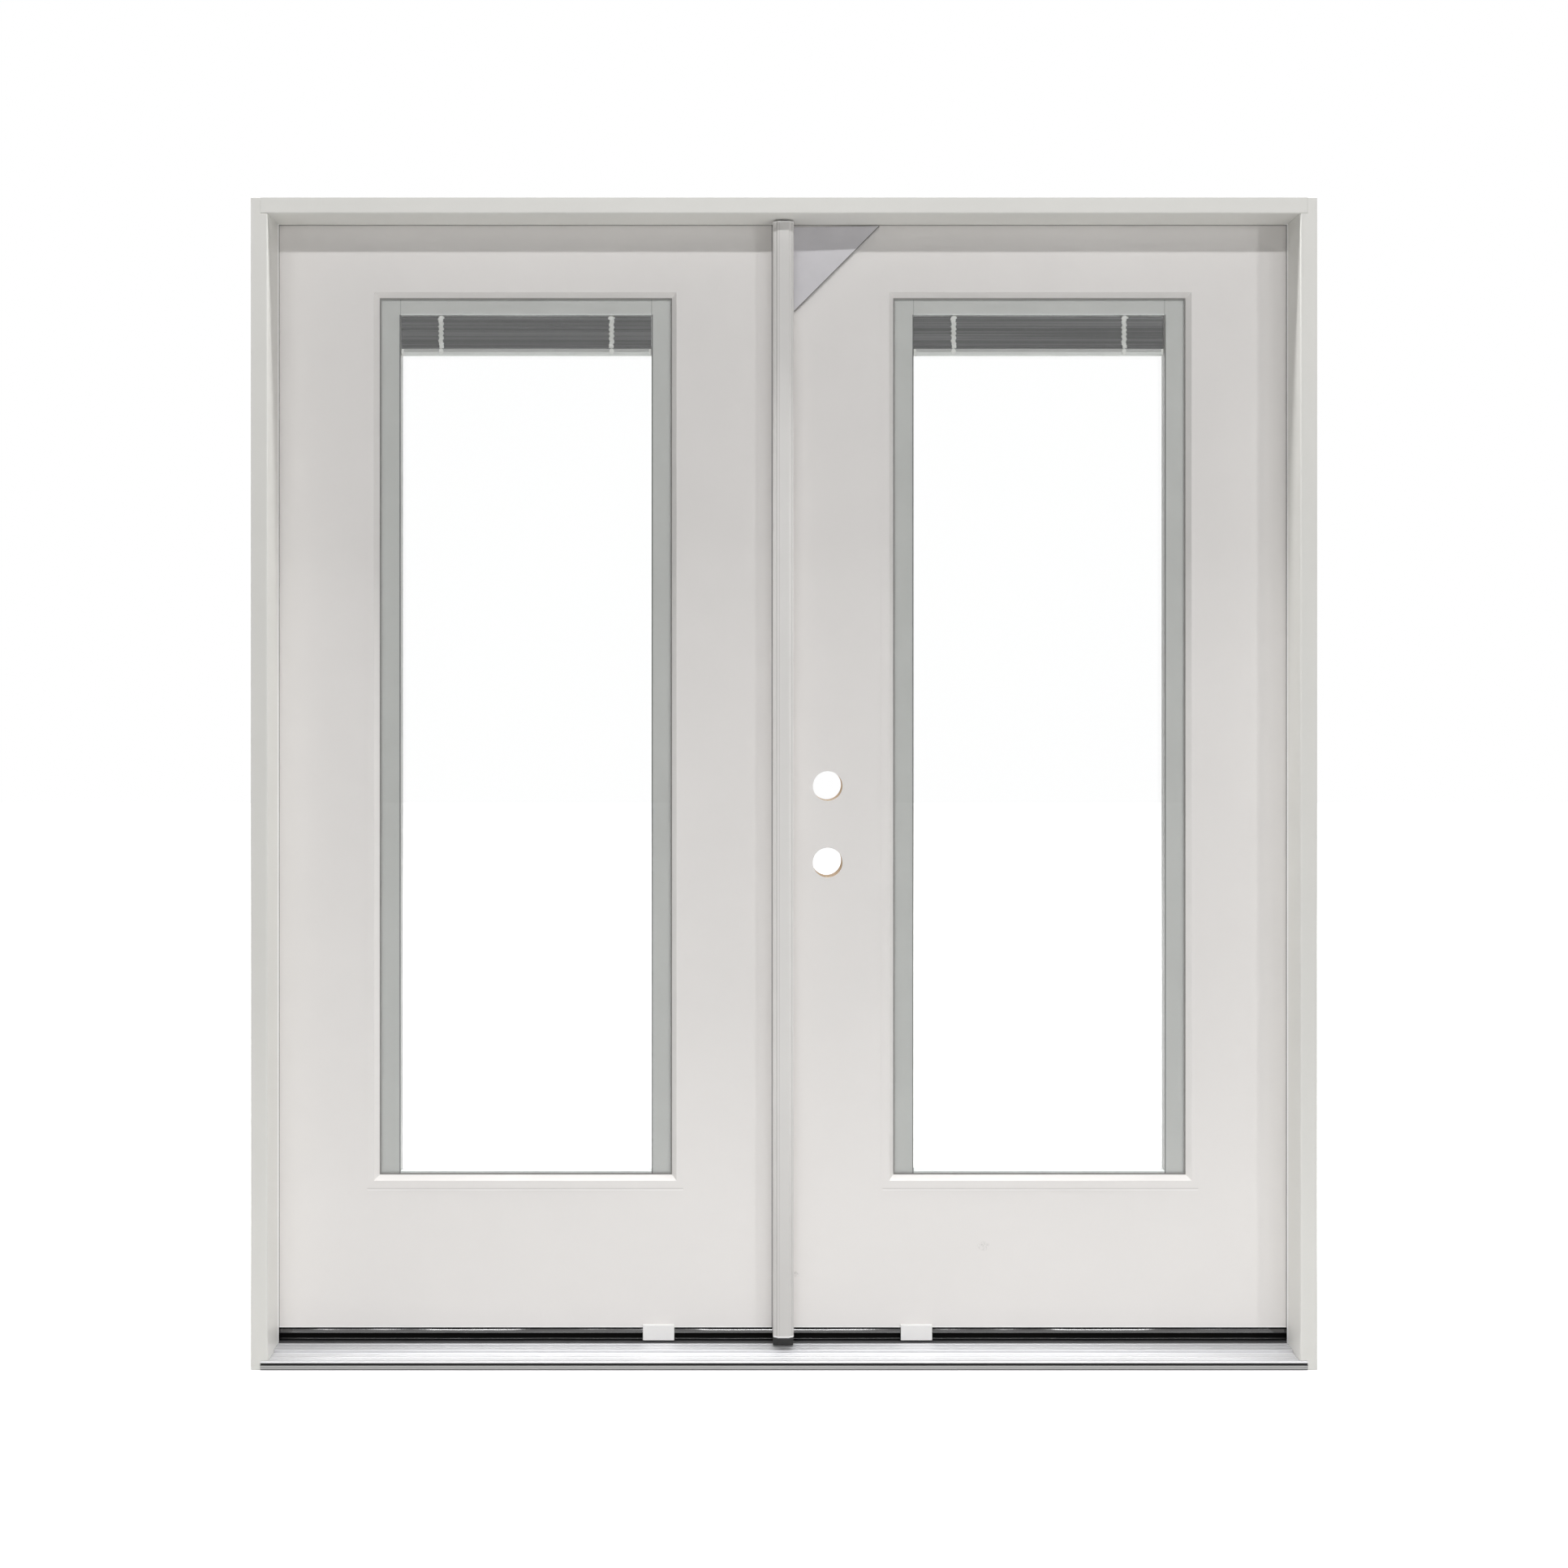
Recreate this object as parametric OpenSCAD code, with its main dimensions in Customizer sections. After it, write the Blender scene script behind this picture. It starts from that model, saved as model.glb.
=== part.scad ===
// Prehung double french door unit that opens into the room.
// Two white glazed leaves hang in a rabbeted frame, with raised blinds between their panes.
// The left leaf is the passive one and carries the astragal with its flush bolts.
// X runs right as seen from outside, Y runs into the room and Z runs up.
// The origin is the middle of the sill's underside. Leaf parts are drawn on the right and mirrored.

/* [Frame] */
// Width over the side jambs
frame_w = 1892; // [1600:1:2200]
// Height from the sill's underside to the top of the head
frame_h = 2080; // [1900:1:2400]
// Depth from the outer face to the inner face
jamb_depth = 116; // [110:1:170]
// Thickness of a side jamb at its rabbet
jamb_t = 17; // [14:0.5:30]
// Thickness of the head at its rabbet
head_t = 15; // [15:0.5:30]
// Height of the stops above the rabbets
stop_proud = 13; // [12:0.5:18]
// Bevel along the outer edge of the stops
arris = 1.5; // [0.5:0.1:3]
// Space between a stop and a closed leaf, which the seal fills
seal_gap = 5; // [4:0.1:7]
// Width of the seals' foam
seal_w = 9; // [8:0.5:11]
// How far the seals stand back from the stops' edges
seal_setback = 2; // [0:0.1:2.5]
// Thickness of the seals' fins, which sit in kerfs in the stops
fin_t = 2.2; // [1.5:0.1:3]
// Depth of the seals' fins
fin_depth = 8; // [5:0.5:10]

/* [Sill] */
// How far the nosing stands in front of the jambs
nose_proud = 2; // [1:0.5:8]
// Height of the nosing
nose_h = 15.8; // [15:0.1:18]
// Thickness of the nosing
nose_t = 7; // [6:0.5:10]
// Wall of the aluminium deck
deck_wall = 1.6; // [1.2:0.1:2.5]
// Drop from the nosing's lip to the front of the deck
lip_drop = 2.2; // [1:0.1:3]
// Rise of the deck's front half
front_rise = 1.2; // [0.5:0.1:3]
// Height of the step half way up the deck
step_h = 4; // [2:0.1:6]
// Distance from the step to the outer face of the leaves
step_setback = 35; // [25:1:40]
// Rise of the deck's back half
back_rise = 0.6; // [0.2:0.1:2]
// Height of the grip ridges on the deck
ridge_h = 0.7; // [0.3:0.1:1]
// How far the threshold cap starts in front of the leaves
cap_lead = 4.5; // [2:0.5:8]
// Height of the threshold cap above the deck
cap_proud = 2.6; // [2:0.1:6]

/* [Leaves] */
// Thickness of a leaf
leaf_t = 44.5; // [40:0.5:50]
// Gap between a leaf's hinge edge and its jamb
hinge_gap = 3; // [2.5:0.1:4]
// Gap between the tops of the leaves and the head
head_gap = 3; // [2:0.1:5]
// Gap between the meeting edges of the leaves
meeting_gap = 24; // [23:0.5:30]
// Thickness of the moulded skins
skin_t = 2; // [1.5:0.1:3]
// Width of the stiles inside a leaf
stile_w = 38; // [30:1:60]
// Height of the top rail inside a leaf
top_rail_h = 38; // [30:1:60]
// Height of the bottom rail inside a leaf
bottom_rail_h = 60; // [40:1:100]

/* [Glazing] */
// Distance from a leaf's side edges to the clear glass
side_margin = 190.5; // [150:0.5:240]
// Distance from a leaf's top edge to the clear glass
top_margin = 140; // [100:1:200]
// Distance from a leaf's bottom edge to the clear glass
bottom_margin = 276; // [180:1:400]
// Depth of the glass below the leaf's face
recess = 9.5; // [7:0.5:11]
// Width of the bevel that leads down to the glass
bevel_w = 9; // [6:0.5:12]
// Width of the raised border from its outer edge to the clear glass
border_w = 23; // [20:0.5:30]
// Height of the raised border above the leaf's face
border_proud = 0.6; // [0.3:0.1:2]
// How far the glass reaches under the border
glass_lap = 14; // [10:0.5:18]
// Thickness of a pane
pane_t = 3; // [2.5:0.1:5]

/* [Blinds] */
// Visible width of the channels at the sides of a blind
channel_w = 37; // [30:0.5:45]
// Wall of the channels and the headrail
channel_wall = 1.2; // [0.8:0.1:2]
// Slot in a channel that the lift line runs in
channel_slot = 4; // [2:0.5:8]
// Visible height of the headrail
header_h = 29.5; // [20:0.5:40]
// Visible height of the spacer under a blind
spacer_h = 5; // [3:0.5:10]
// Depth of the slats
slat_depth = 12.5; // [10:0.5:14]
// Height of the raised stack of slats
stack_h = 60; // [40:1:90]
// Number of slats in the stack
slat_count = 48; // [30:1:60]
// Space between slats, and above and below their stack
slat_gap = 0.3; // [0.2:0.05:0.4]
// Space between a blind's ends and the channels
blind_side_gap = 1; // [0.5:0.1:3]
// Height of the rail under the slats
blind_rail_h = 12; // [8:0.5:18]
// Distance of the ladder tapes from the middle of a leaf, as a share of the blind's width
tape_share = 0.3414; // [0.2:0.005:0.42]
// Width of the ladder tapes
tape_w = 10; // [6:0.5:14]
// Thickness of the ladder tapes
tape_t = 0.5; // [0.3:0.1:0.8]
// Width of the sliders on the inner glass
slider_w = 24; // [16:0.5:28]
// Height of the lift slider
lift_slider_h = 70; // [50:1:90]
// Height of the tilt slider
tilt_slider_h = 44; // [30:1:60]
// Thickness of the sliders without their grips
slider_t = 5; // [4:0.5:6]
// Distance from the lift slider, when the blind is up, to the bottom of the glass
lift_slider_rise = 25; // [10:1:60]
// Distance from the tilt slider to the top of the glass
tilt_slider_drop = 240; // [150:1:400]

/* [Lock bores] */
// Distance from the lock edge to the lock bores
backset = 69.85; // [60:0.05:75]
// Radius of the lock bores
bore_r = 26.99; // [25:0.01:28]
// Radius of the latch bores in the lock edge
edge_bore_r = 12.7; // [11:0.1:12.7]
// Height of the lower lock bore above the leaf's bottom
latch_rise = 846; // [800:1:1000]
// Distance between the lock bores
bore_spacing = 139.7; // [120:0.1:160]
// Wood left round the lock bores
lock_block_margin = 21; // [15:1:40]
// Height of the lock block above and below the bores
lock_block_reach = 110; // [60:1:160]
// Width of the latch plate recesses
plate_w = 25.4; // [24:0.1:30]
// Height of the latch plate recesses
plate_h = 57.2; // [50:0.1:70]
// Depth of the latch plate recesses
plate_depth = 2.4; // [1.5:0.1:4]

/* [Hinges] */
// Height of a hinge
hinge_h = 101.6; // [80:0.1:120]
// Depth of a hinge plate in the edge of a leaf
hinge_depth = 36; // [28:0.5:40]
// Thickness of a hinge plate
hinge_t = 2.4; // [2:0.1:3]
// Radius of a knuckle
knuckle_r = 6.5; // [5.5:0.1:8]
// Radius of a hinge pin
pin_r = 3.5; // [2.5:0.1:4]
// Clearance of a pin in the knuckles
pin_clear = 0.08; // [0.02:0.01:0.1]
// Distance from the leaf's top edge to the top hinge
hinge_top_margin = 180; // [120:1:260]
// Distance from the leaf's bottom edge to the bottom hinge
hinge_bottom_margin = 250; // [180:1:320]

/* [Astragal] */
// Width of the astragal's front
astragal_w = 37.4; // [36:0.1:50]
// How far the astragal stands in front of the leaves
astragal_proud = 40.5; // [30:0.5:55]
// Wall of the astragal
astragal_wall = 2; // [1.5:0.1:2.5]
// Width of the flat down the middle of the astragal
astragal_flat = 19.6; // [14:0.1:24]
// Radius of the astragal's shoulders
shoulder_r = 5; // [3:0.1:6]
// Drop from the flat to the shoulders
shoulder_drop = 2.5; // [1:0.1:4]
// Running gap between the astragal and the active leaf's edge
active_gap = 4; // [3.5:0.1:6]
// Gap between the top of the astragal and the head's stop
astragal_top_gap = 3.5; // [2:0.1:6]
// Distance that the astragal's front reaches below the leaves
astragal_drop = 2.5; // [1:0.1:8]
// Thickness of the astragal's end caps
end_cap_t = 3; // [2:0.1:6]
// Distance from the flush bolts to the astragal's back
bolt_setback = 14; // [11:0.5:18]
// Radius of the flush bolts
bolt_r = 4.7; // [3.5:0.1:5]
// Clearance of the bolts in the astragal
bolt_clear = 0.3; // [0.3:0.05:0.6]
// Length of a flush bolt
bolt_len = 300; // [200:1:500]
// Travel of the top bolt
top_throw = 14; // [8:0.5:14.5]
// Travel of the bottom bolt
bottom_throw = 30; // [26:0.5:34]
// Height of a bolt's thumb tab
tab_h = 24; // [16:1:40]

/* [Bottom seals and packing] */
// Height of the sweep under a leaf
sweep_h = 23; // [18:0.5:30]
// Clearance between the sweeps and the threshold
sweep_clear = 1; // [0.5:0.1:3]
// Wall of the sweep
sweep_wall = 2; // [1.5:0.1:3]
// Width of the clips at the leaves' bottom edges
clip_w = 57; // [30:1:80]
// Distance of the left clip from the middle of the unit
left_clip_x = 226; // [120:1:400]
// Distance of the right clip from the middle of the unit
right_clip_x = 243; // [120:1:400]
// How far the clips reach above the leaves' bottom edges
clip_rise = 6; // [4:0.5:15]
// Thickness of the clips
clip_t = 2.5; // [1.5:0.1:4]
// Length of the short sides of the corner card
card_leg = 156; // [100:1:200]
// Thickness of the corner card
card_t = 0.8; // [0.5:0.1:1.5]
// Radius of the corner card's bend
card_bend_r = 1200; // [900:10:3000]

/* [Hidden] */
$fn = 48;
slop = 1;
fit = 0.3;
cope = 0.2;
half_w = frame_w / 2;
rabbet_x = half_w - jamb_t;
stop_x = rabbet_x - stop_proud;
front_y = -jamb_depth / 2;
back_y = jamb_depth / 2;
leaf_y = back_y - leaf_t;
mid_y = back_y - leaf_t / 2;
stop_y = leaf_y - seal_gap;
head_z = frame_h - head_t;
head_stop_z = head_z - stop_proud;
seal_t = seal_gap - fit;
kerf_t = fin_t + 2 * fit;

nose_y = front_y - nose_proud;
nose_back_y = nose_y + nose_t;
deck_back_y = leaf_y - cap_lead;
step_y = leaf_y - step_setback;
front_z = nose_h - lip_drop;
step_z = front_z + front_rise;
upper_z = step_z + step_h;
deck_z = upper_z + back_rise;
core_z = deck_z - deck_wall;
cap_z = deck_z + cap_proud;
// The deck's underside, from the back to the nosing, which the core follows
deck_under = [
    [deck_back_y, core_z], [step_y + deck_wall, upper_z - deck_wall],
    [step_y + deck_wall, step_z - deck_wall], [nose_back_y, front_z - deck_wall], [nose_back_y, 0]
];

lock_x = meeting_gap / 2;
hinge_x = rabbet_x - hinge_gap;
leaf_w = hinge_x - lock_x;
leaf_x = (lock_x + hinge_x) / 2;
leaf_z = cap_z + sweep_clear + sweep_h;
leaf_top_z = head_z - head_gap;
leaf_h = leaf_top_z - leaf_z;
core_y = leaf_y + skin_t;
core_t = leaf_t - 2 * skin_t;
stile_x = lock_x + stile_w;
rail_w = leaf_w - 2 * stile_w;

lite_w = leaf_w - 2 * side_margin;
lite_z = leaf_z + bottom_margin;
lite_top_z = leaf_top_z - top_margin;
glass_y = leaf_y + recess;
cavity_y = glass_y + pane_t;
cavity_t = leaf_t - 2 * recess - 2 * pane_t;
bevel_slope = bevel_w / (recess + border_proud);

header_z = lite_top_z - header_h;
blind_w = lite_w - 2 * channel_w - 2 * blind_side_gap;
tape_offset = tape_share * blind_w;
stack_top_z = header_z - slat_gap;
stack_z = stack_top_z - stack_h;
blind_rail_z = stack_z - slat_gap - blind_rail_h;
slat_pitch = (stack_h + slat_gap) / slat_count;
slider_y = back_y - recess + fit;
slider_x = (lite_w - channel_w) / 2;

bore_x = lock_x + backset;
latch_z = leaf_z + latch_rise;
bore_heights = [latch_z, latch_z + bore_spacing];
lock_block_w = backset + bore_r + lock_block_margin - stile_w;

pin_x = (rabbet_x + hinge_x) / 2;
pin_stand_off = 0.5;
pin_y = back_y + knuckle_r + pin_stand_off;
knuckle_count = 5;
knuckle_h = hinge_h / knuckle_count;
knuckle_gap = 0.4;
top_hinge_z = leaf_top_z - hinge_top_margin - hinge_h;
bottom_hinge_z = leaf_z + hinge_bottom_margin;
hinge_heights = [bottom_hinge_z, (bottom_hinge_z + top_hinge_z) / 2, top_hinge_z];

astragal_y = leaf_y - astragal_proud;
astragal_half = astragal_w / 2;
flange_z = leaf_z - astragal_drop + end_cap_t;
flange_top_z = head_stop_z - astragal_top_gap - end_cap_t;
stem_x = lock_x - active_gap;
stem_back_y = back_y - astragal_wall;
stem_mid_x = (stem_x - lock_x) / 2;
bolt_y = stem_back_y - bolt_setback;
bolt_bore_r = bolt_r + bolt_clear;
bolt_hole_r = bolt_r + fit + slop;
socket_z = leaf_z - bottom_throw - 3 * slop;
strike_w = 4 * bolt_hole_r;
strike_t = 2;
tab_setback = 250;
tab_w = 5.6;

card_gap = 1.2;
card_drop = 2.5;
card_x = astragal_half + card_gap;
card_z = head_stop_z - card_drop;

WHITE = "white";
GLASS = [0.85, 0.93, 0.93, 0.35];
CHANNEL_GREY = [0.66, 0.67, 0.66];
SLAT_GREY = [0.45, 0.45, 0.45];
PLASTIC_WHITE = [0.93, 0.93, 0.92];
BLACK = [0.05, 0.05, 0.05];
TIMBER = [0.8, 0.68, 0.5];
STEEL = "silver";

// Points on an arc from one angle to another
function arc(x, y, r, from, to) = [
    for (i = [0 : 6]) let (a = from + (to - from) * i / 6) [x + r * cos(a), y + r * sin(a)]
];

// Outline of a sloping run of grip ridges, from its front point to its back point
function ridges(y0, z0, y1, z1, count) = [
    for (i = [0 : count - 1], p = [[0.2, 0], [0.3, 1], [0.7, 1], [0.8, 0]])
        let (t = (i + p[0]) / count) [y0 + (y1 - y0) * t, z0 + (z1 - z0) * t + ridge_h * p[1]]
];

// The part on the left is the mirror image of the part on the right
module left() {
    mirror([1, 0, 0]) children();
}

// A profile drawn in Y and Z, run along X on both sides of x
module along_x(x, length) {
    translate([x, 0, 0]) rotate([90, 0, 90]) linear_extrude(length, center = true) children();
}

// A profile drawn in X and Y, run up from one height to another
module upright(z0, z1) {
    translate([0, 0, z0]) linear_extrude(z1 - z0) children();
}

// A box given by two corners
module span(low, high) {
    translate(low) cube(high - low);
}

// Four-sided frustum over the glass: its margin round the clear glass is m0 at y0 and m1 at y1
module lite_frustum(y0, m0, y1, m1) {
    half = lite_w / 2;
    reach = max(m0, m1) + slop;
    intersection() {
        upright(lite_z - reach, lite_top_z + reach)
            polygon([[leaf_x - half - m0, y0], [leaf_x + half + m0, y0],
                     [leaf_x + half + m1, y1], [leaf_x - half - m1, y1]]);
        along_x(leaf_x, lite_w + 2 * reach)
            polygon([[y0, lite_z - m0], [y0, lite_top_z + m0],
                     [y1, lite_top_z + m1], [y1, lite_z - m1]]);
    }
}

// The lock bores, the latch bores and the latch plates' recesses, as solids to cut away
module lock_cuts() {
    for (z = bore_heights) {
        translate([bore_x, leaf_y - slop, z]) rotate([-90, 0, 0]) cylinder(r = bore_r, h = leaf_t + 2 * slop);
        translate([lock_x - slop, mid_y, z]) rotate([0, 90, 0]) cylinder(r = edge_bore_r, h = backset + slop);
        span([lock_x - slop, mid_y - plate_w / 2, z - plate_h / 2],
             [lock_x + plate_depth, mid_y + plate_w / 2, z + plate_h / 2]);
    }
}

// The room that the hinge plates take in the edge of a leaf, as solids to cut away
module leaf_mortises() {
    for (z = hinge_heights)
        span([hinge_x - hinge_t, back_y - hinge_depth, z], [hinge_x + slop, back_y + slop, z + hinge_h]);
}

// Frame

module side_jamb() {
    kerf_x = stop_x + seal_setback + seal_w / 2 - kerf_t / 2;
    color(WHITE) difference() {
        upright(0, frame_h)
            polygon([[half_w, front_y], [half_w, back_y], [rabbet_x, back_y], [rabbet_x, stop_y],
                     [kerf_x + kerf_t, stop_y], [kerf_x + kerf_t, stop_y - fin_depth - cope],
                     [kerf_x, stop_y - fin_depth - cope], [kerf_x, stop_y], [stop_x, stop_y],
                     [stop_x, front_y + arris], [stop_x + arris, front_y]]);
        span([stop_x - slop, front_y - slop, head_stop_z], [rabbet_x, stop_y + slop, frame_h + slop]);
        along_x(stop_x - slop + (stop_proud + slop) / 2, stop_proud + slop)
            polygon([[front_y - slop, -slop], [front_y - slop, nose_h + cope],
                     [nose_back_y + cope, nose_h + cope], [nose_back_y + cope, front_z + ridge_h + cope],
                     [step_y - cope, step_z + ridge_h + cope], [step_y - cope, upper_z + ridge_h + cope],
                     [stop_y + slop, deck_z + ridge_h + cope], [stop_y + slop, -slop]]);
        for (z = hinge_heights)
            span([rabbet_x - slop, back_y - hinge_depth, z],
                 [rabbet_x + hinge_t, back_y + slop, z + hinge_h]);
    }
}

module left_jamb() {
    left() side_jamb();
}

module right_jamb() {
    side_jamb();
}

module head_jamb() {
    kerf_z = head_stop_z + seal_setback + seal_w / 2 - kerf_t / 2;
    kerf_y = stop_y - fin_depth - cope;
    color(WHITE) difference() {
        along_x(0, 2 * rabbet_x)
            polygon([[front_y, frame_h], [back_y, frame_h], [back_y, head_z], [stop_y, head_z],
                     [stop_y, kerf_z + kerf_t], [kerf_y, kerf_z + kerf_t], [kerf_y, kerf_z],
                     [stop_y, kerf_z], [stop_y, head_stop_z], [front_y + arris, head_stop_z],
                     [front_y, head_stop_z + arris]]);
        span([stem_mid_x - strike_w / 2, bolt_y - strike_w / 2, head_z - slop],
             [stem_mid_x + strike_w / 2, bolt_y + strike_w / 2, head_z + strike_t]);
        translate([stem_mid_x, bolt_y, head_z]) cylinder(r = bolt_hole_r, h = top_throw - head_gap + slop);
    }
}

module head_strike() {
    color(STEEL) difference() {
        span([stem_mid_x - strike_w / 2, bolt_y - strike_w / 2, head_z],
             [stem_mid_x + strike_w / 2, bolt_y + strike_w / 2, head_z + strike_t]);
        translate([stem_mid_x, bolt_y, head_z - slop]) cylinder(r = bolt_hole_r, h = strike_t + 2 * slop);
    }
}

module sill_deck() {
    foot = 1.9;
    band_top = 9;
    groove_top = 12.5;
    groove_depth = 3;
    color(STEEL) along_x(0, 2 * rabbet_x)
        polygon(concat(
            deck_under,
            [[nose_y + 2, 0], [nose_y + 2, foot], [nose_y, foot], [nose_y, foot + 3],
             [nose_y + 0.8, foot + 3.5], [nose_y, foot + 4], [nose_y, band_top],
             [nose_y + groove_depth, band_top],
             [nose_y + groove_depth, groove_top], [nose_y, groove_top], [nose_y, nose_h - 0.8],
             [nose_y + 0.8, nose_h], [nose_back_y - 2, nose_h], [nose_back_y - 1, front_z]],
            ridges(nose_back_y, front_z, step_y, step_z, 5),
            [[step_y, step_z], [step_y, upper_z]],
            ridges(step_y, upper_z, deck_back_y, deck_z, 4),
            [[deck_back_y, deck_z]]));
}

module sill_core() {
    color(TIMBER) difference() {
        along_x(0, 2 * rabbet_x)
            polygon(concat(deck_under, [[back_y, 0], [back_y, core_z]]));
        translate([stem_mid_x, bolt_y, socket_z]) cylinder(r = bolt_hole_r, h = core_z - socket_z + slop);
    }
}

module threshold_cap() {
    ease = 1.2;
    color(BLACK) difference() {
        along_x(0, 2 * rabbet_x)
            polygon([[deck_back_y, core_z], [deck_back_y, cap_z - ease], [deck_back_y + ease, cap_z],
                     [back_y - ease, cap_z], [back_y, cap_z - ease], [back_y, core_z]]);
        translate([stem_mid_x, bolt_y, core_z - slop])
            cylinder(r = bolt_hole_r, h = cap_z - core_z + 2 * slop);
    }
}

// Section of a seal in X and Y, with its fin: x0 is the edge that shows
module seal_section(x0) {
    union() {
        translate([x0, stop_y]) square([seal_w - 2, seal_t]);
        translate([x0 + seal_w - 2, stop_y + seal_t / 2]) circle(r = seal_t / 2);
        translate([x0 + seal_w / 2 - fin_t / 2, stop_y - fin_depth]) square([fin_t, fin_depth + slop]);
    }
}

module head_seal() {
    color(PLASTIC_WHITE) translate([0, 0, head_stop_z]) rotate([90, 0, 90])
        linear_extrude(2 * stop_x, center = true) rotate(90) mirror([0, 1, 0]) seal_section(seal_setback);
}

module jamb_seals() {
    color(PLASTIC_WHITE) for (side = [0, 1])
        mirror([side, 0, 0]) upright(cap_z + fit, head_stop_z) seal_section(stop_x + seal_setback);
}

module corner_pads() {
    pad_clear = 0.8;
    pad_t = hinge_gap - pad_clear;
    pad_h = 60;
    pad_depth = 32;
    color(BLACK) for (side = [0, 1])
        mirror([side, 0, 0])
            span([rabbet_x - pad_t, leaf_y, cap_z], [rabbet_x, leaf_y + pad_depth, cap_z + pad_h]);
}

// Hinges: a plate lies against x0, turned by side, and owns every second knuckle from first

module hinge_half(x0, side, first) {
    relief = pin_y - knuckle_r - knuckle_gap;
    far = x0 + side * hinge_t;
    for (z = hinge_heights)
        difference() {
            union() {
                span([min(x0, far), back_y - hinge_depth, z], [max(x0, far), relief, z + hinge_h]);
                for (k = [first : 2 : knuckle_count - 1]) {
                    low = z + k * knuckle_h + knuckle_gap / 2;
                    tall = knuckle_h - knuckle_gap;
                    span([min(x0, far), relief - slop, low], [max(x0, far), pin_y, low + tall]);
                    translate([pin_x, pin_y, low]) cylinder(r = knuckle_r, h = tall);
                }
            }
            translate([pin_x, pin_y, z - slop]) cylinder(r = pin_r + pin_clear, h = hinge_h + 2 * slop);
        }
}

module frame_hinge_leaves() {
    color(STEEL) for (side = [0, 1])
        mirror([side, 0, 0]) hinge_half(rabbet_x, 1, 0);
}

module leaf_hinges() {
    color(STEEL) hinge_half(hinge_x, -1, 1);
}

module hinge_pins() {
    head_h = 2.5;
    color(STEEL) for (side = [0, 1], z = hinge_heights)
        mirror([side, 0, 0]) translate([pin_x, pin_y, z]) {
            cylinder(r = pin_r, h = hinge_h);
            translate([0, 0, hinge_h - knuckle_gap / 2]) cylinder(r = pin_r + 1.5, h = head_h);
        }
}

// Leaf structure

module exterior_skin(active) {
    cut_in = 2;
    color(WHITE) difference() {
        union() {
            span([lock_x, leaf_y, leaf_z], [hinge_x, core_y, leaf_top_z]);
            lite_frustum(leaf_y - border_proud, border_w, glass_y, border_w);
        }
        lite_frustum(leaf_y - border_proud - cut_in, bevel_w + cut_in * bevel_slope,
                     glass_y + cut_in, -cut_in * bevel_slope);
        if (active) lock_cuts();
    }
}

module interior_skin(active) {
    color(WHITE) difference() {
        translate([0, 2 * mid_y, 0]) mirror([0, 1, 0]) exterior_skin(active);
        leaf_mortises();
    }
}

module hinge_stile() {
    color(TIMBER) difference() {
        span([hinge_x - stile_w, core_y, leaf_z], [hinge_x, core_y + core_t, leaf_top_z]);
        leaf_mortises();
    }
}

module lock_stile(active) {
    color(TIMBER) difference() {
        span([lock_x, core_y, leaf_z], [stile_x, core_y + core_t, leaf_top_z]);
        if (active) lock_cuts();
    }
}

module top_rail() {
    color(TIMBER) span([stile_x, core_y, leaf_top_z - top_rail_h],
                       [stile_x + rail_w, core_y + core_t, leaf_top_z]);
}

module bottom_rail() {
    color(TIMBER) span([stile_x, core_y, leaf_z],
                       [stile_x + rail_w, core_y + core_t, leaf_z + bottom_rail_h]);
}

module lock_block_blank() {
    span([stile_x, core_y, bore_heights[0] - lock_block_reach],
         [stile_x + lock_block_w, core_y + core_t, bore_heights[1] + lock_block_reach]);
}

module lock_block() {
    color(TIMBER) difference() {
        lock_block_blank();
        lock_cuts();
    }
}

module foam_core(active) {
    color("khaki") difference() {
        span([stile_x, core_y, leaf_z + bottom_rail_h],
             [stile_x + rail_w, core_y + core_t, leaf_top_z - top_rail_h]);
        lite_frustum(core_y - slop, border_w, core_y + core_t + slop, border_w);
        if (active) lock_block_blank();
    }
}

module door_sweep() {
    bulb_r = 5.6;
    bulb_z = leaf_z - sweep_wall - bulb_r;
    fin_low = leaf_z - sweep_h;
    lip_h = 3;
    fin_y = [leaf_y + bulb_r - sweep_wall, leaf_y + leaf_t / 2, back_y - bulb_r];
    color(BLACK) union() {
        span([lock_x, leaf_y, leaf_z - sweep_wall], [hinge_x, back_y - slop, leaf_z]);
        translate([leaf_x, leaf_y + bulb_r, bulb_z]) rotate([0, 90, 0])
            cylinder(r = bulb_r, h = leaf_w, center = true);
        for (y = fin_y)
            along_x(leaf_x, leaf_w)
                polygon([[y, leaf_z - sweep_wall / 2], [y + sweep_wall, leaf_z - sweep_wall / 2],
                         [y + sweep_wall, fin_low + lip_h], [y + 1, fin_low], [y - 1, fin_low],
                         [y, fin_low + lip_h]]);
    }
}

module transit_clip(clip_x) {
    low = cap_z + 2 * sweep_clear;
    high = leaf_z + clip_rise;
    stand_off = 2;
    color(PLASTIC_WHITE) along_x(clip_x, clip_w)
        polygon([[leaf_y, high], [leaf_y, high - clip_t], [leaf_y - stand_off, high - clip_t],
                 [leaf_y - stand_off, low], [leaf_y - stand_off - clip_t, low],
                 [leaf_y - stand_off - clip_t, high]]);
}

// A thin card tucked in the corner beside the astragal, bent so that its long edge lifts off the leaf
module corner_card() {
    color([0.9, 0.9, 0.95]) intersection() {
        translate([0, leaf_y + slop, 0]) rotate([90, 0, 0])
            linear_extrude(card_leg / 4)
                polygon([[card_x, card_z], [card_x + card_leg, card_z], [card_x, card_z - card_leg]]);
        translate([card_x, leaf_y - card_bend_r, card_z]) rotate([0, 45, 0]) difference() {
            cylinder(r = card_bend_r, h = 3 * card_leg, center = true, $fn = 720);
            cylinder(r = card_bend_r - card_t, h = 3 * card_leg + 2 * slop, center = true, $fn = 720);
        }
    }
}

// Glazing and blinds

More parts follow.
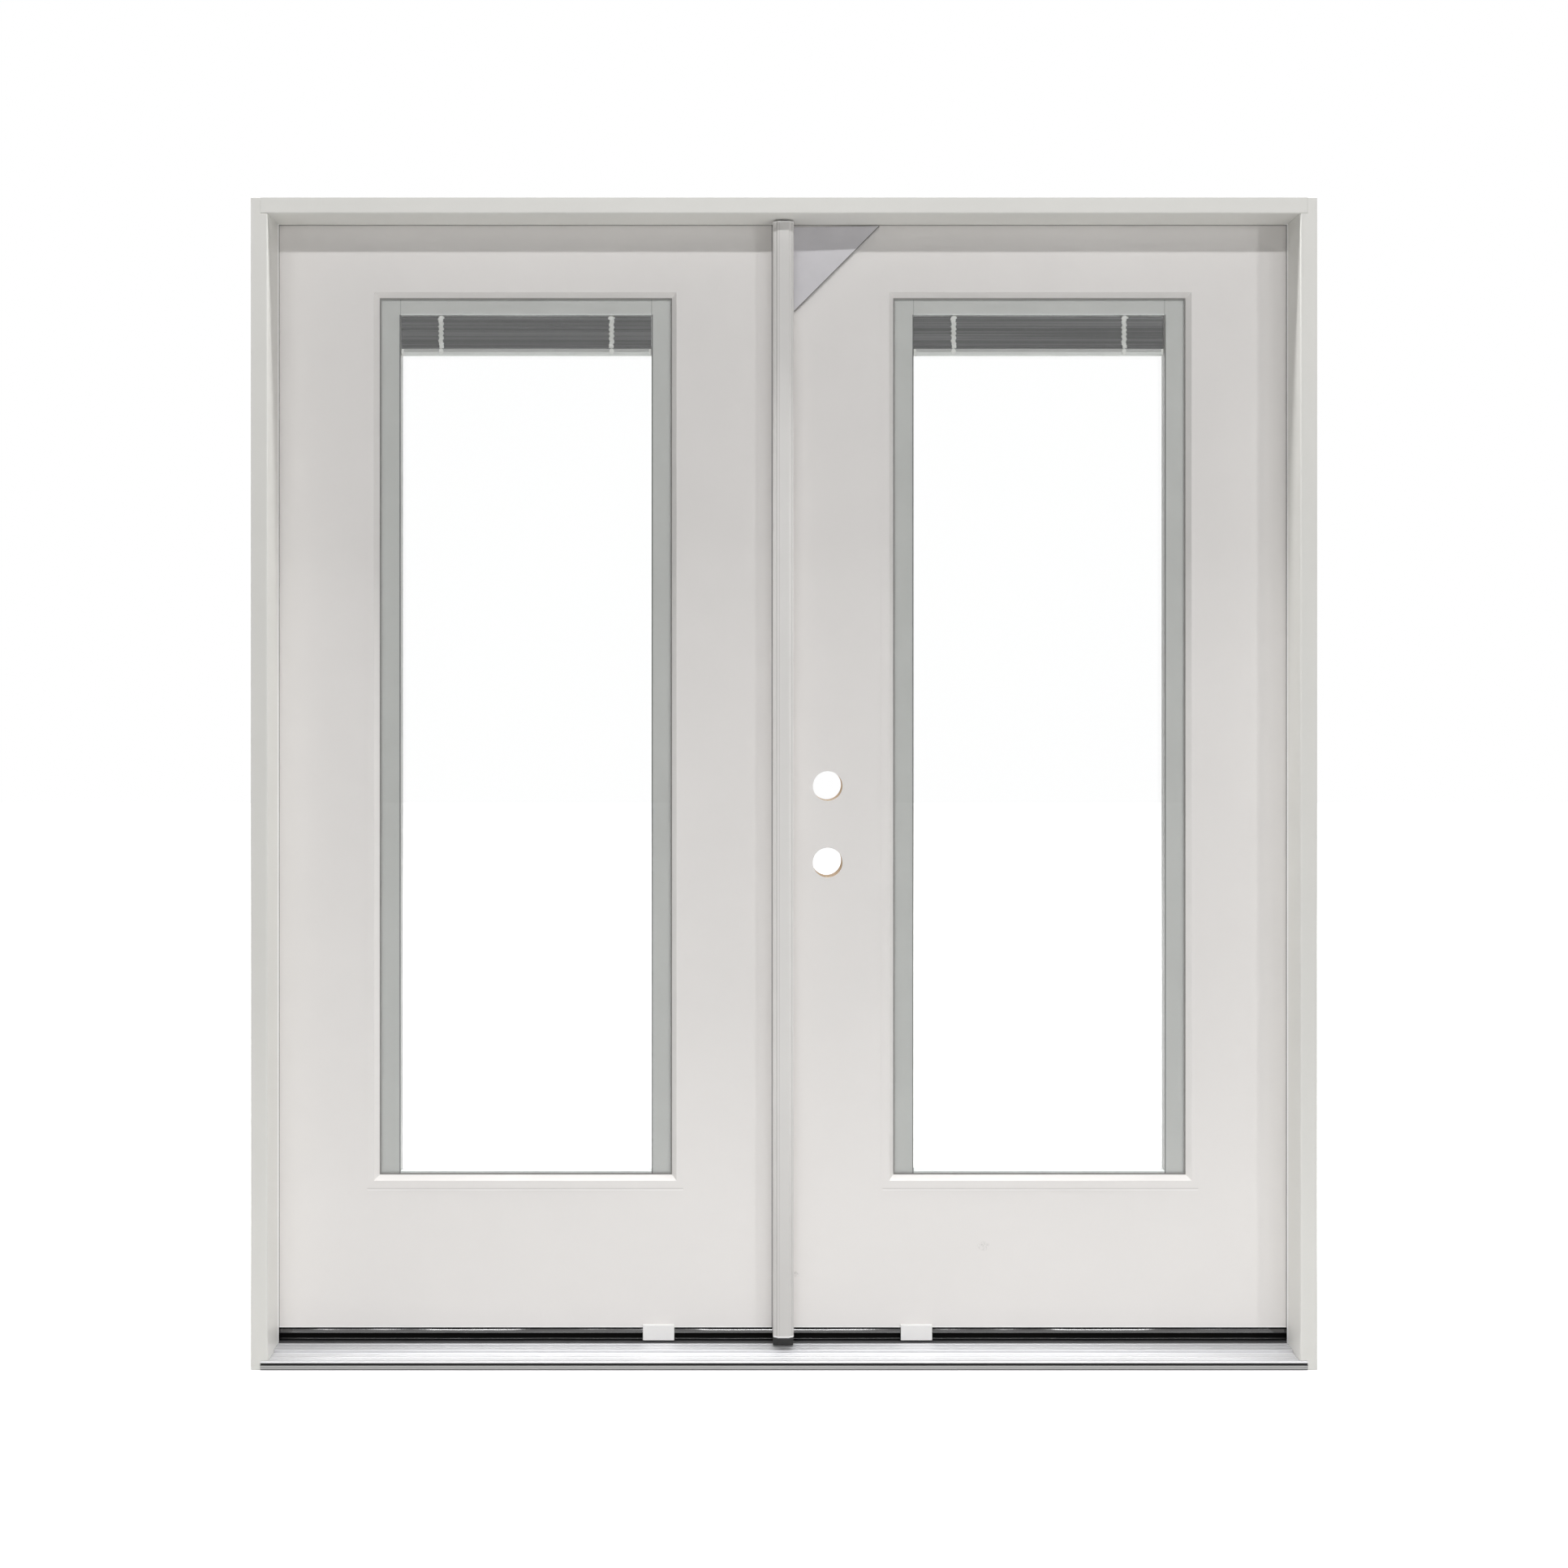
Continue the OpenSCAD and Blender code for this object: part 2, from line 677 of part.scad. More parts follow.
module pane(y) {
    color(GLASS) lite_frustum(y, glass_lap, y + pane_t, glass_lap);
}

module outer_pane() {
    pane(glass_y);
}

module inner_pane() {
    pane(cavity_y + cavity_t);
}

module side_channels() {
    outer_w = channel_w + glass_lap;
    color(CHANNEL_GREY) for (side = [-1, 1])
        translate([leaf_x + side * (lite_w / 2 - channel_w + outer_w / 2), mid_y, 0])
            upright(lite_z - glass_lap, lite_top_z + glass_lap) difference() {
                square([outer_w, cavity_t], center = true);
                square([outer_w - 2 * channel_wall, cavity_t - 2 * channel_wall], center = true);
                translate([-side * outer_w / 2, 0]) square([4 * channel_wall, channel_slot], center = true);
            }
}

module blind_headrail() {
    tall = header_h + glass_lap;
    color(CHANNEL_GREY) translate([0, mid_y, header_z + tall / 2])
        along_x(leaf_x, lite_w - 2 * channel_w) difference() {
            square([cavity_t, tall], center = true);
            square([cavity_t - 2 * channel_wall, tall - 2 * channel_wall], center = true);
        }
}

module bottom_spacer() {
    color(CHANNEL_GREY)
        span([leaf_x - lite_w / 2 + channel_w, cavity_y, lite_z - glass_lap],
             [leaf_x + lite_w / 2 - channel_w, cavity_y + cavity_t, lite_z + spacer_h]);
}

module slat_stack() {
    color(SLAT_GREY) for (i = [0 : slat_count - 1])
        translate([leaf_x - blind_w / 2, mid_y - slat_depth / 2, stack_z + i * slat_pitch])
            cube([blind_w, slat_depth, slat_pitch - slat_gap]);
}

module ladder_tapes() {
    reach = slat_depth / 2 + slat_gap;
    color(PLASTIC_WHITE) for (side = [-1, 1], y = [mid_y - reach - tape_t, mid_y + reach])
        translate([leaf_x + side * tape_offset - tape_w / 2, y, stack_z])
            cube([tape_w, tape_t, stack_h]);
}

module blind_rail() {
    ease = 2;
    half = slat_depth / 2;
    color(PLASTIC_WHITE) translate([0, mid_y, blind_rail_z]) along_x(leaf_x, blind_w)
        polygon([[-half + ease, 0], [half - ease, 0], [half, ease], [half, blind_rail_h],
                 [-half, blind_rail_h], [-half, ease]]);
}

// A slider with round ends and a ribbed grip, which lies on the inner glass
module slider(x, z, tall) {
    r = slider_w / 2;
    rib_t = 1.2;
    color(PLASTIC_WHITE) translate([x, slider_y, z]) rotate([90, 0, 0]) mirror([0, 0, 1]) {
        linear_extrude(slider_t) union() {
            translate([-r, r]) square([slider_w, tall - slider_w]);
            translate([0, r]) circle(r = r);
            translate([0, tall - r]) circle(r = r);
        }
        for (i = [-2 : 2])
            translate([-r / 2, tall / 2 + 4 * i - rib_t / 2, slider_t - slop]) cube([r, rib_t, rib_t + slop]);
    }
}

module lift_slider() {
    slider(leaf_x + slider_x, lite_z + lift_slider_rise, lift_slider_h);
}

module tilt_slider() {
    slider(leaf_x - slider_x, lite_top_z - tilt_slider_drop, tilt_slider_h);
}

// Astragal

// Outline of the astragal's front in X and Y, with a tail of the given depth into the stem
module flange_outline(tail) {
    shoulder_x = astragal_half - shoulder_r;
    shoulder_y = astragal_y + shoulder_drop + shoulder_r;
    polygon(concat(
        [[stem_x, stop_y], [astragal_half, stop_y]],
        arc(shoulder_x, shoulder_y, shoulder_r, 0, -90),
        [[astragal_flat / 2, astragal_y], [-astragal_flat / 2, astragal_y]],
        arc(-shoulder_x, shoulder_y, shoulder_r, -90, -180),
        [[-astragal_half, leaf_y], [-lock_x, leaf_y], [-lock_x, leaf_y + tail], [stem_x, leaf_y + tail]]));
}

module astragal() {
    inner_half = astragal_half - astragal_wall;
    tab_room = tab_h + slop;
    color(WHITE) difference() {
        union() {
            upright(flange_z, flange_top_z) flange_outline(slop);
            span([-lock_x, leaf_y, leaf_z], [stem_x, stem_back_y, leaf_top_z]);
        }
        upright(flange_z - slop, flange_top_z + slop)
            polygon([[inner_half, stop_y - astragal_wall],
                     [inner_half, astragal_y + shoulder_drop + shoulder_r],
                     [astragal_flat / 2, astragal_y + astragal_wall],
                     [-astragal_flat / 2, astragal_y + astragal_wall],
                     [-inner_half, astragal_y + shoulder_drop + shoulder_r],
                     [-inner_half, stop_y - astragal_wall]]);
        span([-lock_x + astragal_wall, leaf_y + astragal_wall, leaf_z - slop],
             [stem_x - astragal_wall, bolt_y - bolt_bore_r - astragal_wall, leaf_top_z + slop]);
        translate([stem_mid_x, bolt_y, leaf_z - slop]) cylinder(r = bolt_bore_r, h = leaf_h + 2 * slop);
        for (z = bore_heights)
            span([stem_x - plate_depth, mid_y - plate_w / 2, z - plate_h / 2],
                 [stem_x + slop, mid_y + plate_w / 2, z + plate_h / 2]);
        span([stem_mid_x, bolt_y - tab_w / 2 - bolt_clear, leaf_top_z - tab_setback - tab_room],
             [stem_x + slop, bolt_y + tab_w / 2 + bolt_clear, leaf_top_z - tab_setback + top_throw + slop]);
        span([stem_mid_x, bolt_y - tab_w / 2 - bolt_clear, leaf_z + tab_setback - bottom_throw - slop],
             [stem_x + slop, bolt_y + tab_w / 2 + bolt_clear, leaf_z + tab_setback + tab_room]);
    }
}

module astragal_caps() {
    color(PLASTIC_WHITE) for (z = [flange_z - end_cap_t, flange_top_z])
        upright(z, z + end_cap_t) flange_outline(0);
}

module astragal_seal() {
    color(PLASTIC_WHITE)
        span([lock_x + 2 * fit, stop_y, flange_z], [astragal_half - fit, stop_y + seal_t, flange_top_z]);
}

module astragal_boot() {
    low = cap_z + sweep_clear;
    half = stem_x - fit;
    wide_half = astragal_half - fit;
    front_setback = 20;
    color(BLACK) difference() {
        union() {
            span([-wide_half, astragal_y + front_setback, low], [wide_half, stop_y, flange_z - end_cap_t]);
            span([-half, stop_y - slop, low], [half, leaf_y + slop, flange_z - end_cap_t]);
            span([-half, leaf_y, low], [half, stem_back_y, leaf_z]);
        }
        translate([stem_mid_x, bolt_y, low - slop]) cylinder(r = bolt_hole_r, h = leaf_z - low + 2 * slop);
    }
}

// A flush bolt from its tip at z, running down, with its thumb tab
module flush_bolt(z) {
    tip_setback = 0.5;
    color(STEEL) translate([stem_mid_x, bolt_y, z - tip_setback]) {
        translate([0, 0, -bolt_len]) cylinder(r = bolt_r, h = bolt_len);
        translate([0, -tab_w / 2, tip_setback - tab_setback - tab_h])
            cube([stem_x - stem_mid_x - bolt_clear, tab_w, tab_h]);
    }
}

module top_bolt() {
    flush_bolt(leaf_top_z);
}

module bottom_bolt() {
    translate([0, 0, leaf_z]) mirror([0, 0, 1]) flush_bolt(0);
}

head_jamb();
left_jamb();
right_jamb();
sill_deck();
sill_core();
threshold_cap();
head_seal();
jamb_seals();
corner_pads();
head_strike();
frame_hinge_leaves();
hinge_pins();

left() exterior_skin(false);  // left_exterior_skin
left() interior_skin(false);  // left_interior_skin
left() hinge_stile();  // left_hinge_stile
left() lock_stile(false);  // left_lock_stile
left() top_rail();  // left_top_rail
left() bottom_rail();  // left_bottom_rail
left() foam_core(false);  // left_foam_core
left() outer_pane();  // left_outer_pane
left() inner_pane();  // left_inner_pane
left() side_channels();  // left_side_channels
left() blind_headrail();  // left_blind_headrail
left() bottom_spacer();  // left_bottom_spacer
left() slat_stack();  // left_slat_stack
left() ladder_tapes();  // left_ladder_tapes
left() blind_rail();  // left_blind_rail
left() lift_slider();  // left_lift_slider
left() tilt_slider();  // left_tilt_slider
left() door_sweep();  // left_door_sweep
left() transit_clip(left_clip_x);  // left_transit_clip
left() leaf_hinges();  // left_leaf_hinges

astragal();
astragal_caps();
astragal_seal();
astragal_boot();
top_bolt();
bottom_bolt();

exterior_skin(true);  // right_exterior_skin
interior_skin(true);  // right_interior_skin
hinge_stile();  // right_hinge_stile
lock_stile(true);  // right_lock_stile
top_rail();  // right_top_rail
bottom_rail();  // right_bottom_rail
foam_core(true);  // right_foam_core
lock_block();  // right_lock_block
outer_pane();  // right_outer_pane
inner_pane();  // right_inner_pane
side_channels();  // right_side_channels
blind_headrail();  // right_blind_headrail
bottom_spacer();  // right_bottom_spacer
slat_stack();  // right_slat_stack
ladder_tapes();  // right_ladder_tapes
blind_rail();  // right_blind_rail
lift_slider();  // right_lift_slider
tilt_slider();  // right_tilt_slider
door_sweep();  // right_door_sweep
transit_clip(right_clip_x);  // right_transit_clip
leaf_hinges();  // right_leaf_hinges
corner_card();
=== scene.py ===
# Looks of the french doors: materials, fine pieces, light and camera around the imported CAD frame.
import math
import random

import bmesh
import bpy
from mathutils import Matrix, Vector


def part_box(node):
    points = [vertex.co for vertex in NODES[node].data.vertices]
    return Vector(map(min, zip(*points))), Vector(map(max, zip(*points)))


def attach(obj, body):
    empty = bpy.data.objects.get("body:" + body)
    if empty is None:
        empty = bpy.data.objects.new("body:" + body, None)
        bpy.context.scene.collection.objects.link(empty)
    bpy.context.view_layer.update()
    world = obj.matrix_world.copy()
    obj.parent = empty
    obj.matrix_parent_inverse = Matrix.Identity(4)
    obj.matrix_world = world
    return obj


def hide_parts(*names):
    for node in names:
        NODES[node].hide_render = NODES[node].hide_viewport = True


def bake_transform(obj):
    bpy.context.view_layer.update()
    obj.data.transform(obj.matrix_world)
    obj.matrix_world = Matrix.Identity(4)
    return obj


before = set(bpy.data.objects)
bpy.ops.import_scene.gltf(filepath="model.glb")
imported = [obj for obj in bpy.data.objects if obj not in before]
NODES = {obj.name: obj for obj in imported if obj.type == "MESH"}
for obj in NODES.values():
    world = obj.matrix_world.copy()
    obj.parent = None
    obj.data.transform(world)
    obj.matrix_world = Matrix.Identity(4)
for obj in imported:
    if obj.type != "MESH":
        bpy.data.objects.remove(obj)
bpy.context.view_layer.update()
SIDES = {"left": -1, "right": 1}
LEAF_BODY = {"left": "passive_leaf", "right": "active_leaf"}
rng = random.Random(7)


# Places on the solids, in metres. The leaves mirror each other, so the right one gives them.

def low_edge(node, axis):
    """The lower limit of a node's box along an axis, to a hundredth of a millimetre."""
    return round(getattr(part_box(node)[0], axis), 5)


def high_edge(node, axis):
    """The upper limit of a node's box along an axis, to a hundredth of a millimetre."""
    return round(getattr(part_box(node)[1], axis), 5)


# How far a leaf's border laps its panes, and how wide the raised border is
GLASS_LAP, BORDER_WIDTH = 0.014, 0.023
# Middle of a lite, and half the width and the bottom of its raised border
LITE_X = (low_edge("right_outer_pane", "x") + high_edge("right_outer_pane", "x")) / 2
BORDER_HALF = high_edge("right_outer_pane", "x") - GLASS_LAP + BORDER_WIDTH - LITE_X
BORDER_LOW = low_edge("right_outer_pane", "z") + GLASS_LAP - BORDER_WIDTH
# Half the clear width between the channels, and the bottom of the headrail
CLEAR_HALF = high_edge("right_blind_headrail", "x") - LITE_X
HEADER_Z = low_edge("right_blind_headrail", "z")
# Middle and half depth of the space between the panes
MID_Y = (high_edge("right_outer_pane", "y") + low_edge("right_inner_pane", "y")) / 2
CAVITY_HALF = low_edge("right_inner_pane", "y") - MID_Y
# Where the blind rail's grey meets the painted shade on its upper half
RAIL_SPLIT_Z = low_edge("right_blind_rail", "z") + 0.0063
# Bottom and hinge side of the leaves, the rabbet that they close into, and half the astragal's width
LEAF_LOW, LEAF_SIDE_X = low_edge("right_exterior_skin", "z"), high_edge("right_exterior_skin", "x")
RABBET_X = high_edge("head_jamb", "x")
ASTRAGAL_HALF = high_edge("astragal", "x")
# Inner faces of the stops
STOP_X, STOP_Z = low_edge("right_jamb", "x"), low_edge("head_jamb", "z")
# Upper corner of the card beside the astragal, and its leg
CARD_CORNER = low_edge("corner_card", "x"), high_edge("corner_card", "z")
CARD_LEG = high_edge("corner_card", "x") - low_edge("corner_card", "x")
# Heights over which the painted shade at the astragal's foot and on the lower channels fades out
ASTRAGAL_FOOT_Z, CHANNEL_FOOT_Z = (0.05, 0.65), (0.5, 1.5)
# Depths where the astragal's painted flute shade ends and the stops' painted back-edge highlight begins
FLUTE_END_Y, STOP_EDGE_Y = (-0.012, -0.008), (0.0005, 0.0025)
# The sill's deck, with the ends of its nosing's face and top and its step, measured from its front
DECK_FRONT_Y, DECK_BACK_Y = low_edge("sill_deck", "y"), high_edge("sill_deck", "y")
NOSE_FACE_Y, NOSE_BACK_Y, STEP_Y = DECK_FRONT_Y + 0.0040, DECK_FRONT_Y + 0.0070, DECK_FRONT_Y + 0.0385
# Heights of the nosing's lip, groove and foot
LIP_Z, GROOVE_Z, FOOT_Z = 0.0130, 0.0084, 0.0022


# Node trees

def srgb(r, g, b):
    """Linear colour of an sRGB colour given in 0 to 255."""
    def one(c):
        c /= 255
        return c / 12.92 if c <= 0.04045 else ((c + 0.055) / 1.055) ** 2.4
    return one(r), one(g), one(b), 1.0


class Tree:
    """A material's node tree, with short ways to add and join nodes."""

    def __init__(self, name):
        self.mat = bpy.data.materials.new(name)
        self.mat.use_nodes = True
        self.tree = self.mat.node_tree
        self.shader = self.tree.nodes["Principled BSDF"]
        self.point = self.add("ShaderNodeTexCoord").outputs["Object"]

    def add(self, kind, **values):
        node = self.tree.nodes.new(kind)
        for key, value in values.items():
            setattr(node, key, value)
        return node

    def join(self, out, socket):
        self.tree.links.new(out, socket)

    def set(self, **values):
        for key, value in values.items():
            self.shader.inputs[key.replace("_", " ")].default_value = value

    def scaled(self, scale):
        node = self.add("ShaderNodeVectorMath", operation="MULTIPLY")
        self.join(self.point, node.inputs[0])
        node.inputs[1].default_value = scale
        return node.outputs[0]

    def noise(self, scale, detail=3.0, rough=0.55, stretch=(1, 1, 1)):
        node = self.add("ShaderNodeTexNoise")
        self.join(self.scaled(tuple(scale * s for s in stretch)), node.inputs["Vector"])
        node.inputs["Scale"].default_value = 1.0
        node.inputs["Detail"].default_value = detail
        node.inputs["Roughness"].default_value = rough
        return node.outputs[0]

    def math(self, operation, a, b=None):
        node = self.add("ShaderNodeMath", operation=operation)
        for socket, value in zip(node.inputs, (a, b)):
            if value is None:
                continue
            if isinstance(value, (int, float)):
                socket.default_value = value
            else:
                self.join(value, socket)
        return node.outputs[0]

    def ramp(self, value, low, high, to_low=0.0, to_high=1.0):
        node = self.add("ShaderNodeMapRange", interpolation_type="SMOOTHSTEP")
        self.join(value, node.inputs["Value"])
        for key, v in (("From Min", low), ("From Max", high), ("To Min", to_low), ("To Max", to_high)):
            node.inputs[key].default_value = v
        return node.outputs[0]

    def mix(self, factor, a, b):
        node = self.add("ShaderNodeMix", data_type="RGBA")
        for socket, value in ((node.inputs["Factor"], factor), (node.inputs[6], a), (node.inputs[7], b)):
            if isinstance(value, (tuple, int, float)):
                socket.default_value = value
            else:
                self.join(value, socket)
        return node.outputs[2]

    def gap(self, a, b):
        """How far apart two values are."""
        return self.math("ABSOLUTE", self.math("SUBTRACT", a, b))

    def line(self, value, centre, core, edge, weight=1.0):
        """A soft line where a value is near a centre: full to its core, gone past its edge."""
        return self.ramp(self.gap(value, centre), core, edge, weight, 0.0)

    def axis(self, name):
        node = self.add("ShaderNodeSeparateXYZ")
        self.join(self.point, node.inputs[0])
        return node.outputs[name]

    def distance(self, place, stretch=(1, 1, 1)):
        shift = self.add("ShaderNodeVectorMath", operation="SUBTRACT")
        self.join(self.point, shift.inputs[0])
        shift.inputs[1].default_value = place
        scale = self.add("ShaderNodeVectorMath", operation="MULTIPLY")
        self.join(shift.outputs[0], scale.inputs[0])
        scale.inputs[1].default_value = stretch
        length = self.add("ShaderNodeVectorMath", operation="LENGTH")
        self.join(scale.outputs[0], length.inputs[0])
        return length.outputs["Value"]

    def bump(self, height, strength, distance):
        node = self.add("ShaderNodeBump")
        node.inputs["Strength"].default_value = strength
        node.inputs["Distance"].default_value = distance
        self.join(height, node.inputs["Height"])
        self.join(node.outputs["Normal"], self.shader.inputs["Normal"])

    def base(self):
        """What the base colour comes from so far."""
        return self.shader.inputs["Base Color"].links[0].from_socket

    def colour(self, out):
        self.join(out, self.shader.inputs["Base Color"])

    def rough(self, out):
        self.join(out, self.shader.inputs["Roughness"])


def shade(colour, factor):
    """A colour made darker or lighter."""
    return tuple(c * factor for c in colour[:3]) + (1.0,)


def white_paint(name, colour, roughness, peel, grime=0.0):
    """Satin white: cloudy tone, fine orange peel, and dust in patches."""
    t = Tree(name)
    cloud = t.noise(2.2, 4.0, 0.6)
    base = t.mix(t.ramp(cloud, 0.3, 0.7), shade(colour, 0.982), shade(colour, 1.014))
    if grime:
        specks = t.ramp(t.noise(70.0, 5.0, 0.7), 0.62, 0.8, 0.0, grime)
        base = t.mix(specks, base, shade(colour, 0.8))
    t.colour(base)
    t.rough(t.ramp(t.noise(9.0, 4.0), 0.3, 0.7, roughness - 0.05, roughness + 0.06))
    t.bump(t.noise(900.0, 2.0), peel, 0.0003)
    return t


def plain(name, colour, roughness, metallic=0.0, spread=0.05, scale=25.0, stretch=(1, 1, 1), bump=0.1,
          fine=700.0):
    """A surface with a slight change of tone and roughness, and a fine bump."""
    t = Tree(name)
    tone = t.ramp(t.noise(scale, 4.0, 0.6, stretch), 0.3, 0.7)
    t.colour(t.mix(tone, shade(colour, 1 - spread), shade(colour, 1 + spread)))
    t.rough(t.ramp(t.noise(scale * 2.0, 3.0, 0.6, stretch), 0.3, 0.7, max(roughness - 0.06, 0.02),
                   roughness + 0.06))
    t.set(Metallic=metallic)
    t.bump(t.noise(fine, 3.0, 0.6, stretch), bump, 0.0003)
    return t


def slat_paint(name):
    """Grey slats painted with long streaks of light and shade, and with shade under the headrail."""
    t = Tree(name)
    # Painted light and shade: long streaks where the slats' edges catch more or less light
    broad = t.ramp(t.noise(1.0, 3.0, 0.7, (0.5, 6.0, 190.0)), 0.32, 0.68)
    narrow = t.ramp(t.noise(1.0, 2.0, 0.6, (0.9, 6.0, 340.0)), 0.56, 0.62)
    grey = t.mix(broad, srgb(26, 26, 26), srgb(112, 112, 112))
    grey = t.mix(t.math("MULTIPLY", narrow, 0.8), grey, srgb(14, 14, 14))
    # Painted shade: the top slats go near black in the shaded gap under the headrail
    gap = t.ramp(t.axis("Z"), HEADER_Z - 0.0032, HEADER_Z - 0.0024)
    t.colour(t.mix(gap, grey, srgb(8, 8, 8)))
    t.set(Roughness=0.5)
    t.bump(t.noise(700.0, 3.0), 0.1, 0.0003)
    return t


def timber(name):
    """Laminated lumber with grain along Z."""
    t = Tree(name)
    grain = t.noise(60.0, 6.0, 0.65, (1.0, 1.0, 0.04))
    light, dark = srgb(205, 176, 132), srgb(164, 128, 84)
    t.colour(t.mix(t.ramp(grain, 0.35, 0.7), light, dark))
    t.set(Roughness=0.6)
    t.bump(grain, 0.25, 0.0004)
    return t


def glass(name):
    """Clear float glass: straight through, with the reflection of its faces."""
    t = Tree(name)
    t.set(Transmission_Weight=1.0, IOR=1.45, Roughness=0.0)
    t.colour(t.mix(t.ramp(t.noise(1.5), 0.3, 0.7), (0.996, 0.998, 0.998, 1), (0.998, 1.0, 0.999, 1)))
    clear = t.add("ShaderNodeBsdfTransparent")
    clear.inputs["Color"].default_value = (0.97, 0.985, 0.98, 1)
    path = t.add("ShaderNodeLightPath")
    either = t.math("MAXIMUM", path.outputs["Is Shadow Ray"], path.outputs["Is Diffuse Ray"])
    both = t.add("ShaderNodeMixShader")
    t.join(either, both.inputs[0])
    t.join(t.shader.outputs[0], both.inputs[1])
    t.join(clear.outputs[0], both.inputs[2])
    t.join(both.outputs[0], t.tree.nodes["Material Output"].inputs["Surface"])
    return t


FRAME_WHITE = srgb(221, 220, 216)
LEAF_WHITE = srgb(231, 228, 226)

MATS = {}


def keep(key, tree):
    """Files a material under a short key, and gives its tree back."""
    MATS[key] = tree.mat
    return tree


frame_paint = keep("frame", white_paint("frame_white", FRAME_WHITE, 0.42, 0.10, 0.05))
leaf_paint = keep("leaf", white_paint("leaf_white", LEAF_WHITE, 0.40, 0.12))
scuffed = keep("scuffed_leaf", white_paint("leaf_white_scuffed", LEAF_WHITE, 0.40, 0.12))
astragal_paint = keep("astragal", white_paint("astragal_white", srgb(221, 219, 217), 0.36, 0.06, 0.05))
keep("clip", white_paint("clip_white", srgb(237, 236, 235), 0.28, 0.04))
keep("seal", plain("seal_white", srgb(226, 225, 221), 0.55, spread=0.03, bump=0.2))
card_film = keep("card", plain("card_white", srgb(206, 204, 208), 0.35, spread=0.02, bump=0.05))
channel_paint = keep("channel", plain("channel_grey", srgb(204, 203, 201), 0.38, spread=0.02, scale=6.0,
                                      bump=0.04))
keep("spacer", plain("spacer_grey", srgb(236, 238, 237), 0.4, spread=0.03))
keep("slat", slat_paint("slat_grey"))
rail_paint = keep("rail", plain("rail_grey", srgb(214, 214, 212), 0.36, spread=0.03))
keep("tape", plain("tape_white", srgb(226, 225, 222), 0.8, spread=0.06, scale=300.0, bump=0.5, fine=1500.0))
keep("vinyl", plain("black_vinyl", (0.020, 0.0195, 0.0195, 1), 0.13, spread=0.15, scale=14.0, bump=0.05)).set(
    IOR=1.75, Coat_Weight=0.7, Coat_Roughness=0.06)
keep("fin", plain("matte_vinyl", (0.0022, 0.0021, 0.0021, 1), 0.6, spread=0.2, bump=0.1)).set(
    Specular_IOR_Level=0.03)
keep("sealant", plain("glazing_sealant", srgb(128, 126, 124), 0.5, spread=0.05))
keep("rubber", plain("black_rubber", (0.016, 0.016, 0.016, 1), 0.65, spread=0.2, bump=0.5))
keep("cap", plain("black_composite", (0.02, 0.02, 0.021, 1), 0.4, spread=0.15, bump=0.2))
keep("core", plain("composite_core", srgb(176, 150, 112), 0.7, spread=0.12, scale=30.0, stretch=(0.06, 1, 1),
                   bump=0.5))
keep("foam", plain("rigid_foam", srgb(226, 216, 176), 0.85, spread=0.06, scale=220.0, bump=0.8, fine=400.0))
keep("steel", plain("brushed_steel", srgb(196, 194, 188), 0.30, metallic=1.0, spread=0.06, scale=60.0,
                    stretch=(1, 1, 14), bump=0.08))
sill = keep("aluminium", plain("sill_aluminium", srgb(212, 212, 214), 0.42, metallic=1.0, spread=0.03,
                               scale=90.0, stretch=(0.002, 1, 1), bump=0.02))
keep("wood", timber("lumber"))
keep("glass", glass("clear_glass"))


def add_scuffs(t, spots):
    """Faint smudges on a leaf's face. Each spot is (place, reach, weight)."""
    last = t.base()
    torn = t.noise(260.0, 4.0, 0.7)
    for place, reach, weight in spots:
        near = t.ramp(t.distance(place, (1.0, 0.0, 1.3)), 0.0, reach, 1.0, 0.0)
        mask = t.math("MULTIPLY", near, t.ramp(torn, 0.45, 0.65, 0.0, weight))
        last = t.mix(mask, last, srgb(120, 118, 116))
    t.colour(last)


def off_lite(t):
    """How far a point is from the middle of its leaf's lite, along X."""
    return t.gap(t.math("ABSOLUTE", t.axis("X")), LITE_X)


def border_line(t):
    """A faint line of painted shade under the glass's raised border, with a painted highlight below it."""
    last = t.base()
    within = t.ramp(off_lite(t), BORDER_HALF - 0.004, BORDER_HALF, 1.0, 0.0)
    # Painted shade in the crease under the raised border
    dark = t.line(t.axis("Z"), BORDER_LOW, 0.0004, 0.0014, 0.30)
    # Painted highlight on the edge below it
    light = t.line(t.axis("Z"), BORDER_LOW - 0.003, 0.0005, 0.0016, 0.8)
    last = t.mix(t.math("MULTIPLY", dark, within), last, srgb(150, 147, 145))
    t.colour(t.mix(t.math("MULTIPLY", light, within), last, srgb(242, 240, 239)))


def face_lines(t, flutes):
    """Painted shade in lines down the astragal's flutes and at its foot. Each flute is (x, width, weight)."""
    last = t.base()
    front = t.ramp(t.axis("Y"), *FLUTE_END_Y, 1.0, 0.0)
    for x, width, weight in flutes:
        # Painted shade in one of the astragal's flutes
        line = t.line(t.axis("X"), x, width * 0.4, width, weight)
        last = t.mix(t.math("MULTIPLY", line, front), last, srgb(120, 117, 114))
    # Painted shade: the astragal greyer towards its foot
    t.colour(t.mix(t.ramp(t.axis("Z"), *ASTRAGAL_FOOT_Z, 0.36, 0.0), last, srgb(150, 148, 146)))


def card_edge_shadow(t):
    """Painted shadow along the card's long edge, which shows as a dark line."""
    x, z = CARD_CORNER
    out_and_down = t.math("ADD", t.math("SUBTRACT", t.axis("X"), x), t.math("SUBTRACT", z, t.axis("Z")))
    # Painted shadow along the card's long edge
    line = t.ramp(out_and_down, CARD_LEG - 0.0021, CARD_LEG - 0.0013)
    t.colour(t.mix(line, t.base(), srgb(74, 72, 72)))


def painted_rail_shade(t):
    """Painted shade: the blind rail's upper half is a darker grey."""
    # Painted shade on the rail's upper half
    upper = t.ramp(t.axis("Z"), RAIL_SPLIT_Z - 0.0006, RAIL_SPLIT_Z + 0.0006)
    t.colour(t.mix(upper, t.base(), srgb(170, 169, 168)))


